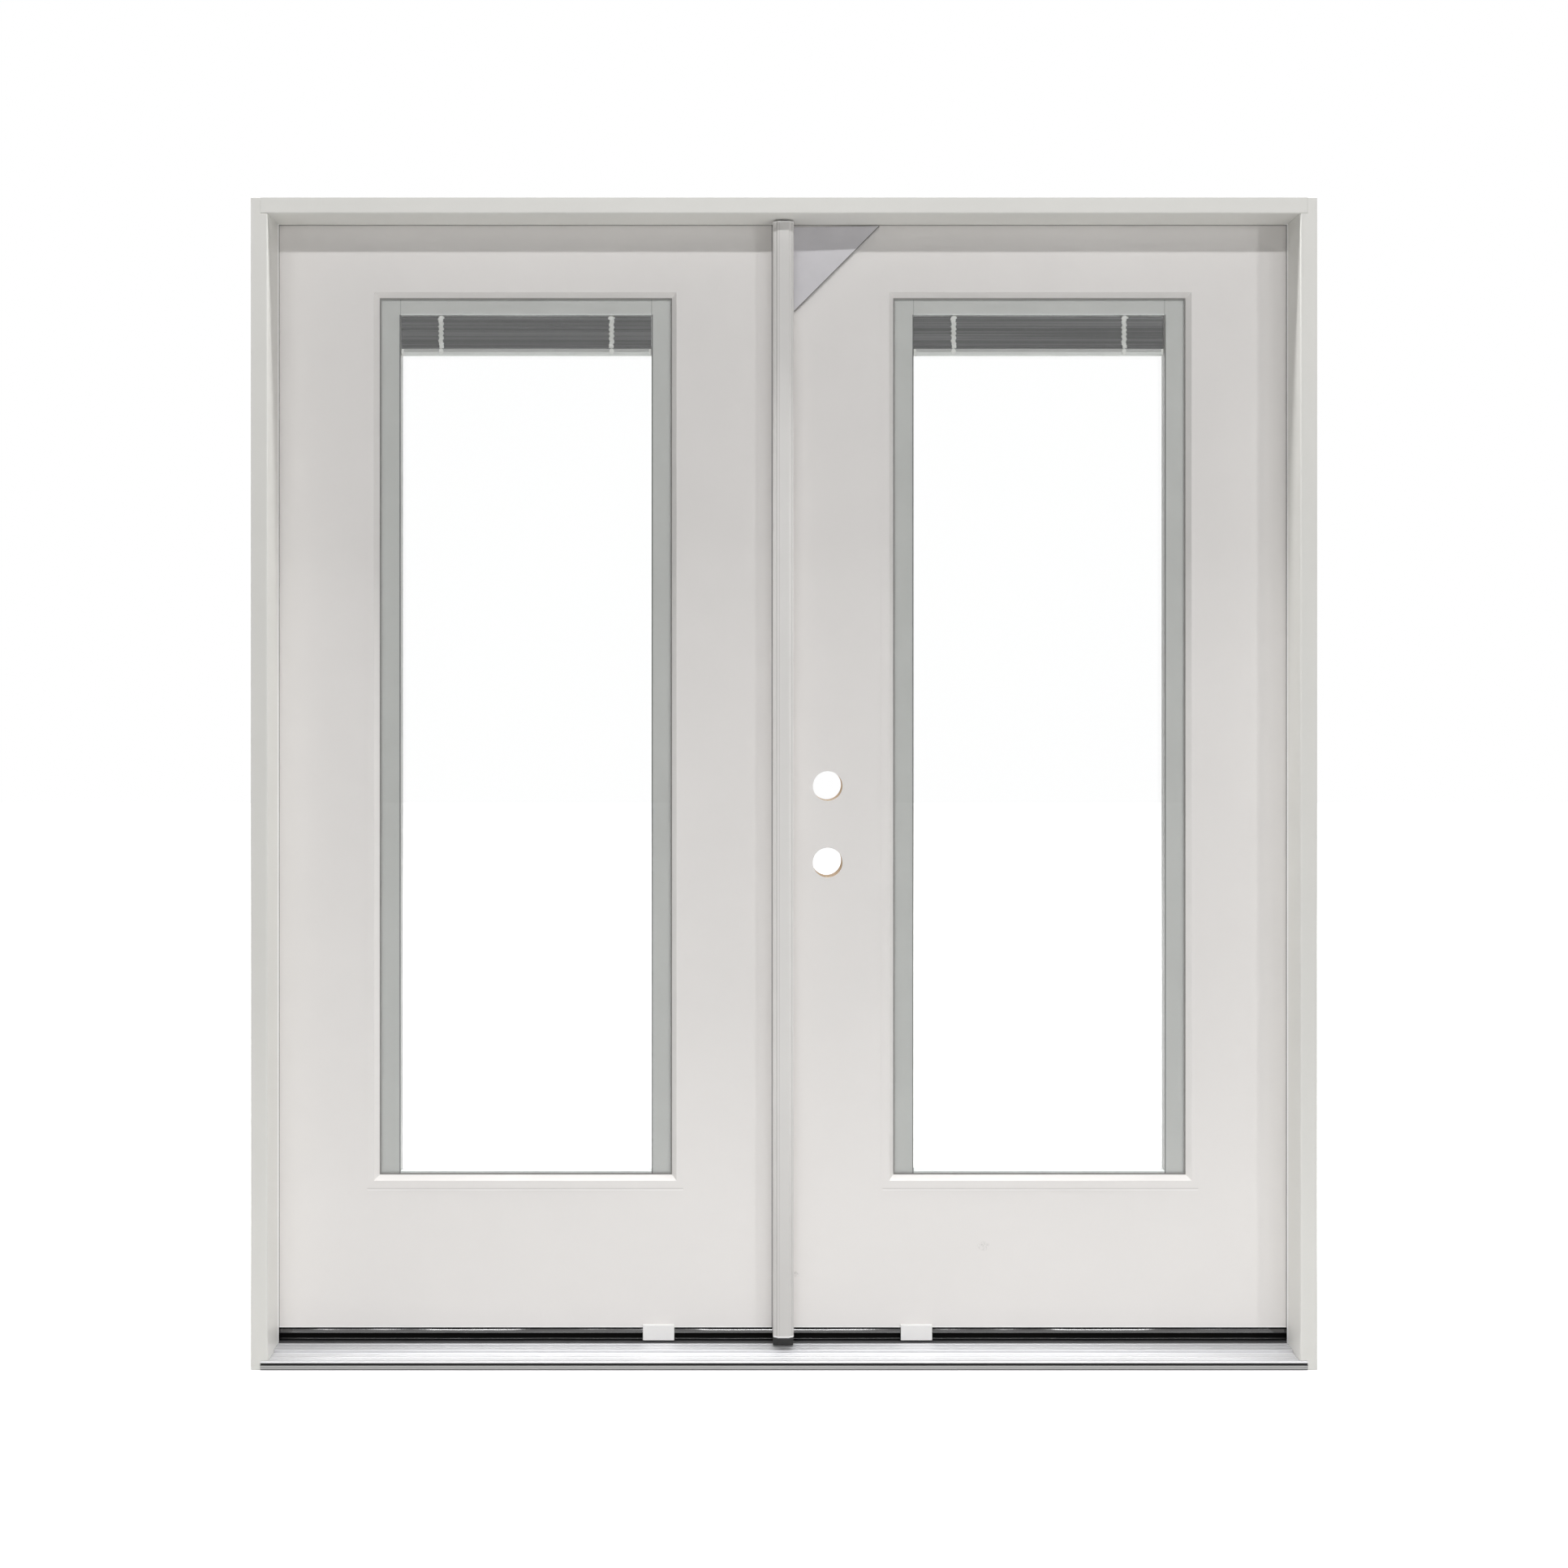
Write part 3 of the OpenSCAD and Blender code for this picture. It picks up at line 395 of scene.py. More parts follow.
def dark_inner_edge(t):
    """The faces of the channels end in a dark line beside the clear glass."""
    line = t.ramp(off_lite(t), CLEAR_HALF + 0.0018, CLEAR_HALF + 0.0024, 1.0, 0.0)
    faces = t.ramp(t.gap(t.axis("Y"), MID_Y), CAVITY_HALF - 0.0012, CAVITY_HALF - 0.0006)
    below = t.ramp(t.axis("Z"), HEADER_Z, HEADER_Z + 0.001, 1.0, 0.0)
    mask = t.math("MULTIPLY", t.math("MULTIPLY", line, faces), below)
    t.colour(t.mix(mask, t.base(), srgb(108, 107, 106)))


def header_joints_and_painted_light(t):
    """Fine joints at the headrail's ends, a painted highlight on its lip and painted shade low on the channels."""
    last = t.base()
    joint = t.line(off_lite(t), CLEAR_HALF, 0.0004, 0.0011, 0.55)
    above = t.ramp(t.axis("Z"), HEADER_Z, HEADER_Z + 0.001)
    last = t.mix(t.math("MULTIPLY", joint, above), last, srgb(140, 140, 139))
    # Painted highlight on the lip under the headrail
    lip = t.line(t.axis("Z"), HEADER_Z + 0.0009, 0.0008, 0.0013, 0.75)
    between = t.ramp(off_lite(t), CLEAR_HALF - 0.001, CLEAR_HALF, 1.0, 0.0)
    last = t.mix(t.math("MULTIPLY", lip, between), last, srgb(240, 240, 239))
    # Painted shade: the channels darker lower down
    t.colour(t.mix(t.ramp(t.axis("Z"), *CHANNEL_FOOT_Z, 0.24, 0.0), last, srgb(150, 150, 149)))


def leaf_edges(t):
    """Painted lines at a leaf's edges: a highlight along its bottom, shade beside the astragal and the stops."""
    last = t.base()
    # Painted highlight along the leaf's bottom edge
    low = t.ramp(t.axis("Z"), LEAF_LOW + 0.0018, LEAF_LOW + 0.0030, 1.0, 0.0)
    last = t.mix(low, last, srgb(251, 250, 249))
    # Painted shade where the leaf meets the astragal
    joint = t.line(t.axis("X"), -ASTRAGAL_HALF - 0.0006, 0.0008, 0.0013, 0.8)
    last = t.mix(joint, last, srgb(112, 109, 107))
    # Painted shade in the gaps along the side and head stops
    side = t.ramp(t.math("ABSOLUTE", t.axis("X")), STOP_X + 0.0002, STOP_X + 0.0006, 0.0, 0.75)
    top = t.ramp(t.axis("Z"), STOP_Z - 0.0004, STOP_Z + 0.0002, 0.0, 0.75)
    t.colour(t.mix(t.math("MAXIMUM", side, top), last, srgb(120, 117, 115)))


def stop_edges(t):
    """Painted highlights on the back edges of the side stops, where they catch the light."""
    # Painted highlight on the stops' back edges
    back = t.ramp(t.axis("Y"), *STOP_EDGE_Y)
    face = t.line(t.math("ABSOLUTE", t.axis("X")), STOP_X, 0.0008, 0.0012)
    t.colour(t.mix(t.math("MULTIPLY", back, face), t.base(), srgb(251, 251, 250)))


def rib_lines(t, spans):
    """Painted shade in fine lines between the deck's ribs. Each span is (front, back, ribs, tone, weight of the
    lines).
    """
    last = t.base()
    depth = t.axis("Y")
    for front, back, ribs, tone, weight in spans:
        past_front = t.ramp(depth, front, front + 0.0002)
        within = t.math("MULTIPLY", past_front, t.ramp(depth, back - 0.0002, back, 1.0, 0.0))
        rib = t.math("FRACT", t.math("MULTIPLY", t.math("SUBTRACT", depth, front), ribs / (back - front)))
        # Painted shade in the line between two ribs
        line = t.ramp(t.gap(rib, 0.5), 0.36, 0.46, 0.0, weight)
        dark = t.mix(line, (tone, tone, tone, 1), (1, 1, 1, 1))
        last = t.mix(t.math("MULTIPLY", within, dark), last, srgb(120, 120, 122))
    t.colour(last)


def nosing_shade_and_reflection(t, metallic=0.55, soft=0.0004):
    """Painted reflection and shade: the nosing's front is greyer below its lip, its groove and foot near black."""
    front = t.ramp(t.axis("Y"), NOSE_FACE_Y, NOSE_FACE_Y + soft, 1.0, 0.0)
    height = t.axis("Z")
    # Painted reflection: the face below the lip greyer, for the darker floor that it mirrors
    face = t.math("MULTIPLY", front, t.ramp(height, LIP_Z, LIP_Z + soft, 1.0, 0.0))
    groove = t.math("MULTIPLY", t.ramp(height, GROOVE_Z, GROOVE_Z + soft), face)
    foot = t.math("MULTIPLY", t.ramp(height, FOOT_Z, FOOT_Z + soft, 1.0, 0.0), face)
    # Painted shade in the groove and at the foot, near black and not metallic
    dark = t.math("MAXIMUM", groove, foot)
    t.colour(t.mix(dark, t.mix(face, t.base(), srgb(158, 158, 157)), (0.006, 0.006, 0.006, 1)))
    t.join(t.math("MULTIPLY", t.math("SUBTRACT", 1.0, dark), metallic), t.shader.inputs["Metallic"])


ASTRAGAL_FLUTES = ((-0.0121, 0.0010, 0.30), (-0.0072, 0.0009, 0.20), (0.0155, 0.0010, 0.32))
SMUDGES = (((0.366, 0.0, 0.194), 0.014, 0.55), ((0.0229, 0.0, 0.1425), 0.009, 0.6))
DECK_SPANS = ((NOSE_BACK_Y, STEP_Y, 5, 0.0, 0.30), (STEP_Y, DECK_BACK_Y, 4, 0.16, 0.55))

dark_inner_edge(channel_paint)
header_joints_and_painted_light(channel_paint)
stop_edges(frame_paint)
for paint in (leaf_paint, scuffed):
    leaf_edges(paint)
    border_line(paint)
face_lines(astragal_paint, ASTRAGAL_FLUTES)
card_edge_shadow(card_film)
painted_rail_shade(rail_paint)
add_scuffs(scuffed, SMUDGES)
rib_lines(sill, DECK_SPANS)
nosing_shade_and_reflection(sill)

NODE_MATERIAL = {
    "head_jamb": "frame", "left_jamb": "frame", "right_jamb": "frame", "sill_deck": "aluminium",
    "sill_core": "core", "threshold_cap": "cap", "head_seal": "seal", "jamb_seals": "seal",
    "corner_pads": "rubber", "head_strike": "steel", "frame_hinge_leaves": "steel", "hinge_pins": "steel",
    "exterior_skin": "leaf", "interior_skin": "leaf", "hinge_stile": "wood", "lock_stile": "wood",
    "top_rail": "wood", "bottom_rail": "wood", "lock_block": "wood", "foam_core": "foam",
    "outer_pane": "glass", "inner_pane": "glass", "side_channels": "channel", "blind_headrail": "channel",
    "bottom_spacer": "spacer", "slat_stack": "slat", "ladder_tapes": "tape", "blind_rail": "rail",
    "lift_slider": "clip", "tilt_slider": "clip", "door_sweep": "vinyl", "transit_clip": "clip",
    "leaf_hinges": "steel", "corner_card": "card", "astragal": "astragal", "astragal_caps": "clip",
    "astragal_seal": "seal", "astragal_boot": "rubber", "top_bolt": "steel", "bottom_bolt": "steel",
}
OWN_MATERIAL = {"right_exterior_skin": "scuffed_leaf"}


def base_name(node):
    """A node's name without its leaf's side."""
    if node in NODE_MATERIAL:
        return node
    return node.split("_", 1)[1]


for node, obj in NODES.items():
    obj.data.materials.clear()
    obj.data.materials.append(MATS[OWN_MATERIAL.get(node) or NODE_MATERIAL[base_name(node)]])


def ease_edges(node, width, segments=2):
    """Joins a CAD node's split corners and rounds its sharp edges a little."""
    obj = NODES[node]
    weld = obj.modifiers.new("weld", "WELD")
    weld.merge_threshold = 0.00001
    bevel = obj.modifiers.new("ease", "BEVEL")
    bevel.width = width
    bevel.segments = segments
    bevel.limit_method = "ANGLE"
    bevel.angle_limit = math.radians(35)
    bevel.harden_normals = False
    bevel.use_clamp_overlap = True


EASED = {"left_jamb": 0.0007, "right_jamb": 0.0007, "head_jamb": 0.0007, "astragal_caps": 0.0004,
         "left_transit_clip": 0.0006, "right_transit_clip": 0.0006, "left_lift_slider": 0.0005,
         "right_lift_slider": 0.0005, "left_tilt_slider": 0.0005, "right_tilt_slider": 0.0005,
         "sill_deck": 0.00025}
for node, width in EASED.items():
    ease_edges(node, width)


# Mesh pieces

def make(name, verts, faces, material, smooth=True):
    """A mesh piece whose normals face out, with one of the materials."""
    mesh = bpy.data.meshes.new(name)
    mesh.from_pydata([Vector(v) for v in verts], [], faces)
    mesh.validate()
    work = bmesh.new()
    work.from_mesh(mesh)
    bmesh.ops.recalc_face_normals(work, faces=work.faces)
    work.to_mesh(mesh)
    work.free()
    mesh.materials.append(MATS[material])
    for polygon in mesh.polygons:
        polygon.use_smooth = smooth
    obj = bpy.data.objects.new(name, mesh)
    bpy.context.scene.collection.objects.link(obj)
    return obj


class Builder:
    """Gathers the closed shells of one piece."""

    def __init__(self):
        self.verts = []
        self.faces = []

    def tube(self, rings, loop=False):
        """Joins rings of points into a closed shell, capped at its ends or run round in a loop."""
        first = len(self.verts)
        count = len(rings[0])
        for ring in rings:
            self.verts.extend(ring)
        for i in range(len(rings) if loop else len(rings) - 1):
            a = first + i * count
            b = first + (i + 1) % len(rings) * count
            for j in range(count):
                k = (j + 1) % count
                self.faces.append((a + j, a + k, b + k, b + j))
        if not loop:
            self.faces.append(tuple(range(first, first + count)))
            last = first + (len(rings) - 1) * count
            self.faces.append(tuple(reversed(range(last, last + count))))

    def piece(self, name, material, smooth=True):
        return make(name, self.verts, self.faces, material, smooth)


def auto_smooth(obj, degrees=35.0):
    """Keeps edges sharper than the angle as edges, and smooths the rest."""
    limit = math.cos(math.radians(degrees))
    work = bmesh.new()
    work.from_mesh(obj.data)
    for edge in work.edges:
        if len(edge.link_faces) == 2:
            a, b = edge.link_faces
            edge.smooth = a.normal.dot(b.normal) > limit
    work.to_mesh(obj.data)
    work.free()


def ease_in_out(t):
    """Smooth weight of a place along the stack, as the blend between two bodies has it."""
    return t * t * (3 - 2 * t)


def unease(w):
    """The place along the stack whose smooth weight is w."""
    low, high = 0.0, 1.0
    for _ in range(40):
        mid = (low + high) / 2
        if ease_in_out(mid) < w:
            low = mid
        else:
            high = mid
    return (low + high) / 2


SLATS = 112
# Of the space from one slat to the next: where the first one starts, thickness, crown, most tilt, and wave
SLAT_START, SLAT_THICK, SLAT_CROWN, SLAT_TILT, SLAT_WAVE = 0.05, 0.62, 0.65, 0.10, 0.04
# How far a slat's edges stay inside the stack, how far it may be out of line, and how short its ends may be
SLAT_INSET, SLAT_SHIFT, SLAT_TRIM = 0.0003, 0.00022, 0.0005
# Tapes: width, the share of it each side of the middle, half thickness, depth of the folds, and two sways
TAPE_WIDTH, TAPE_SHARE, TAPE_THICK = 0.0100, 0.42, 0.0003
TAPE_FOLD, TAPE_SWAY, TAPE_SHAKE = 0.00045, 0.0009, 0.0006
# Blind rail: length of an end cap, its shares of the rail's depth and height, and the joint beside it
RAIL_CAP, CAP_DEPTH, CAP_HEIGHT, CAP_JOINT = 0.004, 0.97, 0.96, 0.0001
# Front of the rail as (depth, share of its height), and the inset of its top
RAIL_FRONT = ((0.0, 0.92), (0.0, 0.62), (0.0009, 0.56), (0.0009, 0.50), (0.0, 0.44), (0.0004, 0.22),
              (0.0018, 0.04), (0.0034, 0.0))
RAIL_INSET = 0.001
# Buttons that hold the tapes: half width, half height, share of the rail's height, and (depth, share) of the rings
BUTTON_X, BUTTON_Z, BUTTON_RISE, BUTTON_SIDES = 0.0042, 0.0056, 0.55, 16
BUTTON_RINGS = ((0.0004, 1.0), (-0.0009, 1.0), (-0.0015, 0.8), (-0.0017, 0.4))
# Sweep: thickness of its plate, and how far the flap, its bead and the fins ripple
SWEEP_PLATE, FLAP_WAVE, BEAD_WAVE, FIN_WAVE = 0.002, 0.00032, 0.0004, 0.0005
# Flap as (depth, drop) from the sweep's front top edge, and each point's share of the ripple
SWEEP_FLAP = ((0.0046, 0.0019), (0.0032, 0.0038), (0.0019, 0.0059), (0.0010, 0.0078), (0.0005, 0.0092),
              (0.0006, 0.0102), (0.0014, 0.0111), (0.0032, 0.0116), (0.0080, 0.0110), (0.0080, 0.0019))
FLAP_RIPPLE = (0.0, 0.15, 0.5, 0.9, 1.0, 0.9, 0.6, 0.2, 0.0, 0.0)
# Bead along the flap: depth and height of its middle, and radius
BEAD_Y, BEAD_Z, BEAD_R, BEAD_SIDES = 0.0022, 0.0019, 0.0007, 8
# Fins: place of the first from the front and of the last from the back, thickness, and (depth, height) of a tip
FIN_FRONT, FIN_BACK, FIN_THICK = 0.0036, 0.0046, 0.002
FIN_TIP = ((FIN_THICK, 0.004), (0.0012, 0.0012), (-0.0005, 0.0003), (-0.0012, 0.0008), (0.0001, 0.004))
# Each point's share of a fin's ripple, and how far along X one fin's ripple is from the next one's
FIN_RIPPLE, FIN_LAG = (0.0, 0.0, 0.35, 1.0, 1.0, 1.0, 0.35), 0.11
# Sealant as (inset from the border, height above the glass)
SEALANT_BEAD = ((-0.0004, -0.0001), (-0.0004, 0.0009), (0.0006, 0.0008), (0.0014, 0.0005), (0.0019, -0.0001))
# Hinges: how many, height, space under the lowest one in its box, and (height, y) of the screws in one
HINGE_COUNT, HINGE_HEIGHT, HINGE_SPACE = 3, 0.1016, 0.0002
HINGE_SCREWS = ((0.014, 0.0350), (0.038, 0.0480), (0.0636, 0.0350), (0.0876, 0.0480))
# How much nearer the front the screws of the leaf's plate are
LEAF_SCREW_SHIFT = 0.004
# Screw heads: radius, sides, and (share of the radius, rise) of the rings and of the cross slot's mouth and floor
SCREW_RADIUS, SCREW_SIDES = 0.0042, 24
SCREW_RINGS = ((1.0, -0.0006), (1.0, 0.00008), (0.86, 0.0002), (0.45, 0.00026))
SLOT_RINGS = ((1.0, 0.00026), (0.8, -0.0004))
# Reach of the cross slot's arms and of the corners between them, as shares of the radius
SLOT_ARM, SLOT_CORNER = 0.38, 0.15


def slat_stack(side):
    """Thin crowned slats, set so that they hang evenly when the blind is down."""
    low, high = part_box(side + "_slat_stack")
    tall = high.z - low.z
    mid_y = (low.y + high.y) / 2
    half = (high.y - low.y) / 2
    work = Builder()
    steps = 8
    across = (-1.0, -0.6, 0.0, 0.6, 1.0)
    tops = [high.z - unease((i + SLAT_START) / SLATS) * tall for i in range(SLATS)]
    for i, z in enumerate(tops):
        gap = z - (tops[i + 1] if i + 1 < SLATS else low.z)
        thick = gap * SLAT_THICK
        crown = gap * SLAT_CROWN
        shift_y = rng.uniform(-1, 1) * SLAT_SHIFT
        tilt = rng.uniform(-1, 1) * gap * SLAT_TILT
        trim = rng.uniform(0, 1) * SLAT_TRIM
        rings = []
        for s in range(steps + 1):
            x = low.x + trim + (high.x - low.x - 2 * trim) * s / steps
            wave = gap * SLAT_WAVE * math.sin(9.0 * s / steps + i * 1.7)
            top = [(x, mid_y + (half - SLAT_INSET) * v + shift_y, z + wave + tilt * v - crown * v * v)
                   for v in across]
            under = [(px, py, max(pz - thick, low.z)) for px, py, pz in reversed(top)]
            rings.append(top + under)
        work.tube(rings)
    obj = work.piece(side + "_slats", "slat", smooth=False)
    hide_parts(side + "_slat_stack")
    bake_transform(obj)


def ladder_tapes(side):
    """Woven tapes that bunch up in front of and behind the raised slats, with ragged edges."""
    fray = random.Random(11)
    low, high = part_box(side + "_ladder_tapes")
    slat_low, slat_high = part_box(side + "_slat_stack")
    mid_x = (slat_low.x + slat_high.x) / 2
    reach = (high.x - low.x) / 2
    half = TAPE_SHARE * TAPE_WIDTH
    work = Builder()
    steps = 150
    for sign in (-1, 1):
        centre = mid_x + sign * (reach - TAPE_WIDTH / 2)
        for y, out in ((low.y, -1), (high.y, 1)):
            rings = []
            phase = rng.uniform(0, 6)
            for s in range(steps + 1):
                share = unease(s / steps)
                z = high.z - (high.z - low.z) * share
                # Narrow at the very top, widest just under it
                bunch = 0.3 + 0.7 * min(share / 0.05, 1) + 0.45 * max(0.0, 1 - abs(share - 0.085) / 0.055)
                # The edges fray more in the upper half
                torn = 0.22 if share < 0.45 else 0.06
                fold = math.sin(s * 0.9 + phase) + 0.6 * math.sin(s * 2.3 + 2 * phase)
                sway = TAPE_SWAY * math.sin(s * 0.21 + phase) + TAPE_SHAKE * math.sin(s * 0.73)
                thin = bunch * (1 + 0.06 * math.sin(s * 0.57 + phase))
                left, right = thin + torn * fray.random() ** 3, thin + torn * fray.random() ** 3
                depth = y + out * TAPE_FOLD * (1 + fold)
                edges = (-left, -0.4 * left, 0.4 * right, right)
                outer = [(centre + sway + u * half, depth + out * TAPE_THICK * math.cos(u * 2 + s), z)
                         for u in edges]
                inner = [(centre + sway + u * half, depth - out * TAPE_THICK, z) for u in reversed(edges)]
                rings.append(outer + inner)
            work.tube(rings)
    obj = work.piece(side + "_tapes", "tape")
    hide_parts(side + "_ladder_tapes")
    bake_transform(obj)


def profile_run(work, x0, x1, outline, steps=1, wave=None):
    """Runs an outline of (y, z) points along X, with an optional wave(x, index) that shifts its points."""
    rings = []
    for s in range(steps + 1):
        x = x0 + (x1 - x0) * s / steps
        ring = []
        for i, (y, z) in enumerate(outline):
            dy, dz = wave(x, i) if wave else (0.0, 0.0)
            ring.append((x, y + dy, z + dz))
        rings.append(ring)
    work.tube(rings)


def blind_rail(side):
    """Bottom rail with a grooved front, end caps and the buttons that hold the tapes."""
    low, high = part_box(side + "_blind_rail")
    tape_low, tape_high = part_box(side + "_ladder_tapes")
    mid_y, mid_z = (low.y + high.y) / 2, (low.z + high.z) / 2
    tall = high.z - low.z
    outline = [(low.y + depth, low.z + tall * share) for depth, share in RAIL_FRONT]
    outline += [(high.y - depth, low.z + tall * share) for depth, share in reversed(RAIL_FRONT)]
    outline += [(high.y - RAIL_INSET, high.z), (low.y + RAIL_INSET, high.z)]
    work = Builder()
    profile_run(work, low.x + RAIL_CAP, high.x - RAIL_CAP, outline)
    rail = work.piece(side + "_rail", "rail")
    auto_smooth(rail, 25)
    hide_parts(side + "_blind_rail")
    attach(rail, side + "_blind")
    fittings = Builder()
    cap = [(mid_y + (y - mid_y) * CAP_DEPTH, mid_z + (z - mid_z) * CAP_HEIGHT) for y, z in outline]
    profile_run(fittings, low.x, low.x + RAIL_CAP - CAP_JOINT, cap)
    profile_run(fittings, high.x - RAIL_CAP + CAP_JOINT, high.x, cap)
    button_z = low.z + tall * BUTTON_RISE
    turns = [2 * math.pi * i / BUTTON_SIDES for i in range(BUTTON_SIDES)]
    for x in (tape_low.x + TAPE_WIDTH / 2, tape_high.x - TAPE_WIDTH / 2):
        rings = []
        for depth, share in BUTTON_RINGS:
            rings.append([(x + share * BUTTON_X * math.cos(a), low.y + depth,
                           button_z + share * BUTTON_Z * math.sin(a)) for a in turns])
        fittings.tube(rings)
    fit = fittings.piece(side + "_rail_fittings", "tape")
    auto_smooth(fit, 40)
    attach(fit, side + "_blind")


def door_sweep(side):
    """Soft vinyl sweep: a glossy flap that leans out and ripples, under a matte plate with three fins."""
    low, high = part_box(side + "_door_sweep")
    width = high.x - low.x
    phase = rng.uniform(0, 6)

    def ripple(x, strength):
        u = (x - low.x) / width
        return strength * (math.sin(11.0 * u + phase) + 0.7 * math.sin(23.0 * u + 2.1 * phase)
                           + 0.45 * math.sin(47.0 * u + 0.7 * phase))

    work = Builder()
    flap = [(low.y + depth, high.z - drop) for depth, drop in SWEEP_FLAP]

    def flap_wave(x, i):
        push = ripple(x, FLAP_WAVE) * FLAP_RIPPLE[i]
        return max(push, -0.0002), -0.5 * push

    profile_run(work, low.x, high.x, flap, steps=240, wave=flap_wave)
    turns = [2 * math.pi * i / BEAD_SIDES for i in range(BEAD_SIDES)]
    bead = [(low.y + BEAD_Y + BEAD_R * math.cos(a), low.z + BEAD_Z + BEAD_R * math.sin(a)) for a in turns]

    def bead_wave(x, i):
        return ripple(x, BEAD_WAVE), 0.0

    profile_run(work, low.x, high.x, bead, steps=160, wave=bead_wave)
    sweep = work.piece(side + "_sweep", "vinyl")
    auto_smooth(sweep, 50)
    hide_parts(side + "_door_sweep")
    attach(sweep, LEAF_BODY[side])

    fins = Builder()
    under = high.z - SWEEP_PLATE
    profile_run(fins, low.x, high.x, [(low.y, high.z), (high.y, high.z), (high.y, under), (low.y, under)])
    for index, y in enumerate((low.y + FIN_FRONT, (low.y + high.y) / 2, high.y - FIN_BACK)):
        outline = [(y, under), (y + FIN_THICK, under)]
        outline += [(y + depth, low.z + height) for depth, height in FIN_TIP]

        def fin_wave(x, i):
            return ripple(x + FIN_LAG * index, FIN_WAVE) * FIN_RIPPLE[i], 0.0

        profile_run(fins, low.x, high.x, outline, steps=160, wave=fin_wave)
    fin_piece = fins.piece(side + "_sweep_fins", "fin")
    auto_smooth(fin_piece, 40)
    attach(fin_piece, LEAF_BODY[side])


def glazing_sealant(side):
    """The dark bead in the corner between a leaf's border and its panes, outside and inside."""
    pane_low, pane_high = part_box(side + "_outer_pane")
    back_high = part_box(side + "_inner_pane")[1]
    work = Builder()
    for y, out in ((pane_low.y, -1), (back_high.y, 1)):
        rings = []
        for sx, sz in ((-1, -1), (1, -1), (1, 1), (-1, 1)):
            edge_x = (pane_high.x if sx > 0 else pane_low.x) - sx * GLASS_LAP
            edge_z = (pane_high.z if sz > 0 else pane_low.z) - sz * GLASS_LAP
            ring = []
            for inset, rise in SEALANT_BEAD:
                ring.append((edge_x - sx * inset, y + out * rise, edge_z - sz * inset))
            rings.append(ring)
        work.tube(rings, loop=True)
    bead = work.piece(side + "_sealant", "sealant")
    auto_smooth(bead, 40)
    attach(bead, LEAF_BODY[side])


def screw_heads(name, places, body):
    """Countersunk screw heads with cross slots. Each place is (point, outward X sign)."""
    work = Builder()
    turns = [2 * math.pi * i / SCREW_SIDES for i in range(SCREW_SIDES)]
    for (x, y, z), out in places:
        turn = rng.uniform(0, math.pi)
        arms = [SLOT_ARM if math.cos(4 * (a - turn)) > 0.25 else SLOT_CORNER for a in turns]
        rings = []
        for share, rise in SCREW_RINGS:
            reach = SCREW_RADIUS * share
            rings.append([(x + out * rise, y + reach * math.cos(a), z + reach * math.sin(a)) for a in turns])
        for share, rise in SLOT_RINGS:
            reach = SCREW_RADIUS * share
            rings.append([(x + out * rise, y + reach * arm * math.cos(a), z + reach * arm * math.sin(a))
                          for a, arm in zip(turns, arms)])
        work.tube(rings)
    obj = work.piece(name, "steel")
    auto_smooth(obj, 30)
    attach(obj, body)


def hinge_screws(side):
    """The screws of both plates of a leaf's hinges."""
    sign = SIDES[side]
    low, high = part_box(side + "_leaf_hinges")
    step = (high.z - low.z - HINGE_HEIGHT) / (HINGE_COUNT - 1)
    places_frame, places_leaf = [], []
    for k in range(HINGE_COUNT):
        base = low.z + HINGE_SPACE + k * step
        for rise, y in HINGE_SCREWS:
            places_frame.append(((sign * RABBET_X, y, base + rise), -sign))
            places_leaf.append(((sign * LEAF_SIDE_X, y - LEAF_SCREW_SHIFT, base + rise), sign))
    screw_heads(side + "_frame_screws", places_frame, "frame")
    screw_heads(side + "_leaf_screws", places_leaf, LEAF_BODY[side])


for side in SIDES:
    slat_stack(side)
    ladder_tapes(side)
    blind_rail(side)
    door_sweep(side)
    glazing_sealant(side)
    hinge_screws(side)


# Stage, light and camera

def light_path_split(tree, seen, lit):
    """Joins a shader for what the camera, mirrors and glass see with one for the light that it gives."""
    path = tree.nodes.new("ShaderNodeLightPath")
    total = path.outputs["Is Camera Ray"]
    for key in ("Is Glossy Ray", "Is Transmission Ray"):
        node = tree.nodes.new("ShaderNodeMath")
        node.operation = "MAXIMUM"
        tree.links.new(total, node.inputs[0])
        tree.links.new(path.outputs[key], node.inputs[1])
        total = node.outputs[0]
    mix = tree.nodes.new("ShaderNodeMixShader")
    tree.links.new(total, mix.inputs[0])
    tree.links.new(lit, mix.inputs[1])
    tree.links.new(seen, mix.inputs[2])
    return mix.outputs[0]


world = bpy.data.worlds.new("studio")
bpy.context.scene.world = world
world.use_nodes = True
nodes = world.node_tree.nodes
lit = nodes["Background"]
lit.inputs["Color"].default_value = (1.0, 0.995, 0.985, 1)
lit.inputs["Strength"].default_value = 0.06
seen = nodes.new("ShaderNodeBackground")
seen.inputs["Color"].default_value = (1, 1, 1, 1)
seen.inputs["Strength"].default_value = 1.0
world.node_tree.links.new(light_path_split(world.node_tree, seen.outputs[0], lit.outputs[0]),
                          nodes["World Output"].inputs["Surface"])

# Half the floor's width, and how far it lies under the object
FLOOR_HALF, FLOOR_DROP = 14.0, 0.0005
# Half the object's footprint, how far from it the shadow fades, and how bright the floor glows close to it
FOOT_X, FOOT_Y = 0.95, 0.07
SHADOW_NEAR, SHADOW_FAR, SHADOW_GLOW = 0.10, 1.00, 0.50


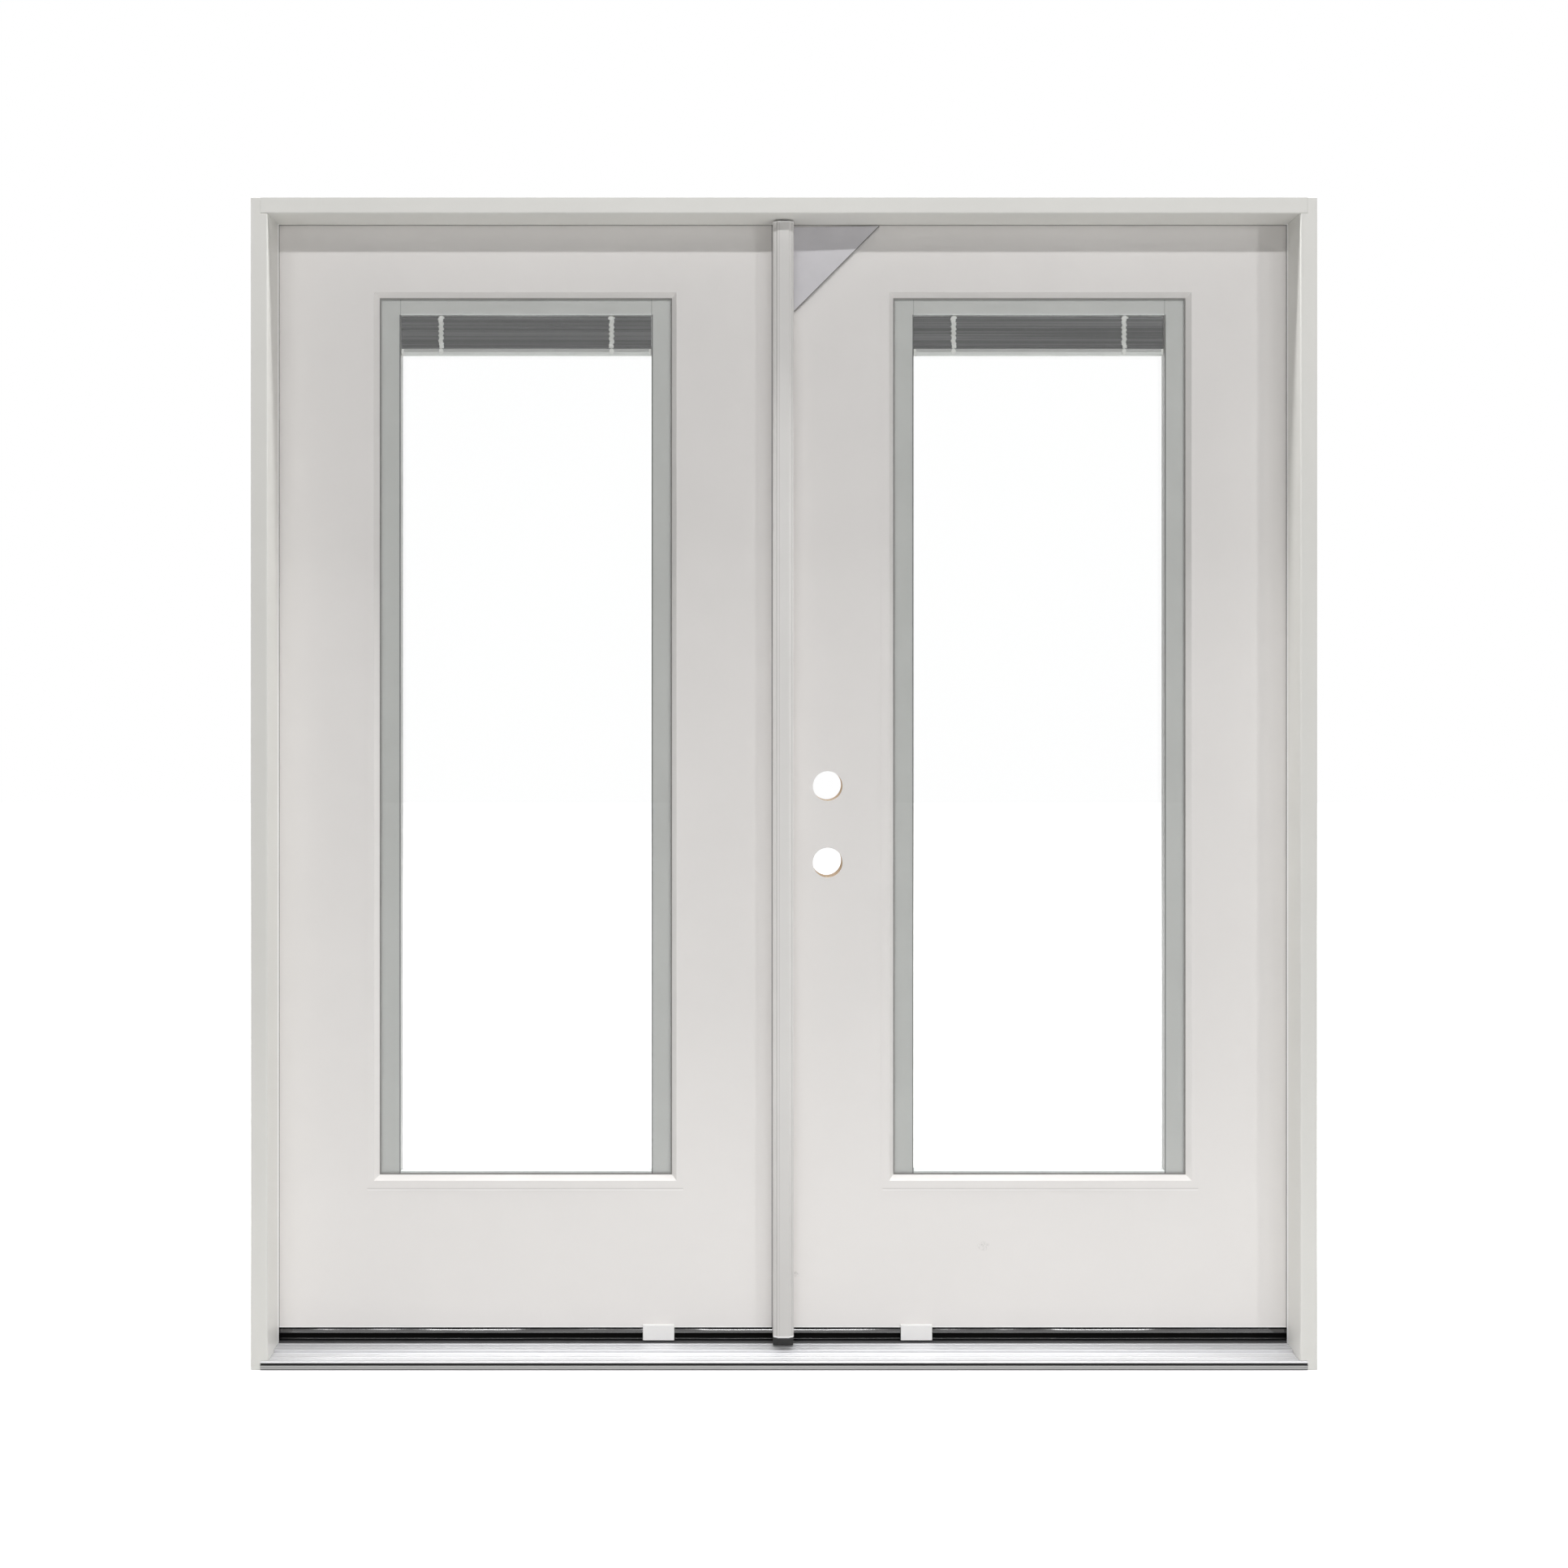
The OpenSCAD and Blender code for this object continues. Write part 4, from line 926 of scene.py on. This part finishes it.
def floor_paint():
    """A pale floor. The camera sees it white, with the shadow kept close to the object."""
    t = Tree("pale_floor")
    t.colour(t.mix(t.ramp(t.noise(1.2), 0.3, 0.7), (0.68, 0.68, 0.67, 1), (0.72, 0.72, 0.71, 1)))
    t.set(Roughness=0.7)
    past = []
    for axis, half in (("X", FOOT_X), ("Y", FOOT_Y)):
        beyond = t.math("SUBTRACT", t.math("ABSOLUTE", t.axis(axis)), half)
        past.append(t.math("POWER", t.math("MAXIMUM", beyond, 0.0), 2.0))
    away = t.math("SQRT", t.math("ADD", *past))
    glow = t.add("ShaderNodeEmission")
    glow.inputs["Color"].default_value = (1, 1, 1, 1)
    t.join(t.ramp(away, SHADOW_NEAR, SHADOW_FAR, SHADOW_GLOW, 1.0), glow.inputs["Strength"])
    lit_floor = t.add("ShaderNodeBsdfDiffuse")
    lit_floor.inputs["Color"].default_value = (0.8, 0.8, 0.8, 1)
    both = t.add("ShaderNodeAddShader")
    t.join(glow.outputs[0], both.inputs[0])
    t.join(lit_floor.outputs[0], both.inputs[1])
    t.join(light_path_split(t.tree, both.outputs[0], t.shader.outputs[0]),
           t.tree.nodes["Material Output"].inputs["Surface"])
    return t.mat


floor_mesh = bpy.data.meshes.new("floor")
corners = ((-1, -1), (1, -1), (1, 1), (-1, 1))
floor_mesh.from_pydata([(x * FLOOR_HALF, y * FLOOR_HALF, 0) for x, y in corners], [], [(0, 1, 2, 3)])
floor_mesh.materials.append(floor_paint())
floor = bpy.data.objects.new("floor", floor_mesh)
bpy.context.scene.collection.objects.link(floor)
floor.location.z = -FLOOR_DROP


def area_light(name, place, target, size_x, size_y, power):
    """A soft lamp that faces a target."""
    data = bpy.data.lights.new(name, "AREA")
    data.shape = "RECTANGLE"
    data.size = size_x
    data.size_y = size_y
    data.energy = power
    obj = bpy.data.objects.new(name, data)
    bpy.context.scene.collection.objects.link(obj)
    obj.location = place
    obj.rotation_mode = "QUATERNION"
    obj.rotation_quaternion = (Vector(target) - Vector(place)).to_track_quat("-Z", "Y")


MIDDLE = (0.0, 0.0, 1.1)
area_light("key", place=(0.0, -9.0, 8.18), target=(0.0, 0.0, 1.5), size_x=10.5, size_y=0.45, power=512.0)
area_light("right_key", place=(5.2, -5.9, 2.0), target=MIDDLE, size_x=0.5, size_y=2.4, power=64.0)
area_light("ceiling", place=(0.0, -0.25, 4.25), target=(0.0, -0.08, 0.0), size_x=5.6, size_y=0.16, power=172.0)
area_light("bounce", place=(0.0, -0.70, 0.03), target=(0.0, 0.0, 0.16), size_x=2.3, size_y=0.05, power=1.0)
area_light("back_key", place=(-1.5, 6.0, 5.2), target=(0.0, 0.0, 1.2), size_x=6.0, size_y=1.2, power=250.0)
area_light("back_fill", place=(4.5, 5.0, 1.6), target=MIDDLE, size_x=2.0, size_y=2.4, power=60.0)

# The photo's width, focal length and centre of view in its pixels, and where its camera stands
FRAME_PX, FOCAL_PX = 1932.0, 1865.0
CENTRE_X_PX, CENTRE_Y_PX = 908.0, 856.0
CAMERA_PLACE = (-0.0835, -2.743, 1.198)
SENSOR_MM = 36.0

camera_data = bpy.data.cameras.new("camera")
camera_data.sensor_width = SENSOR_MM
camera_data.lens = SENSOR_MM * FOCAL_PX / FRAME_PX
camera_data.shift_x = (FRAME_PX / 2 - CENTRE_X_PX) / FRAME_PX
camera_data.shift_y = -(FRAME_PX / 2 - CENTRE_Y_PX) / FRAME_PX
camera_data.clip_end = 100.0
camera = bpy.data.objects.new("camera", camera_data)
bpy.context.scene.collection.objects.link(camera)
camera.location = CAMERA_PLACE
camera.rotation_euler = (math.radians(90), 0, 0)
bpy.context.scene.camera = camera

bpy.context.scene.view_settings.view_transform = "Standard"
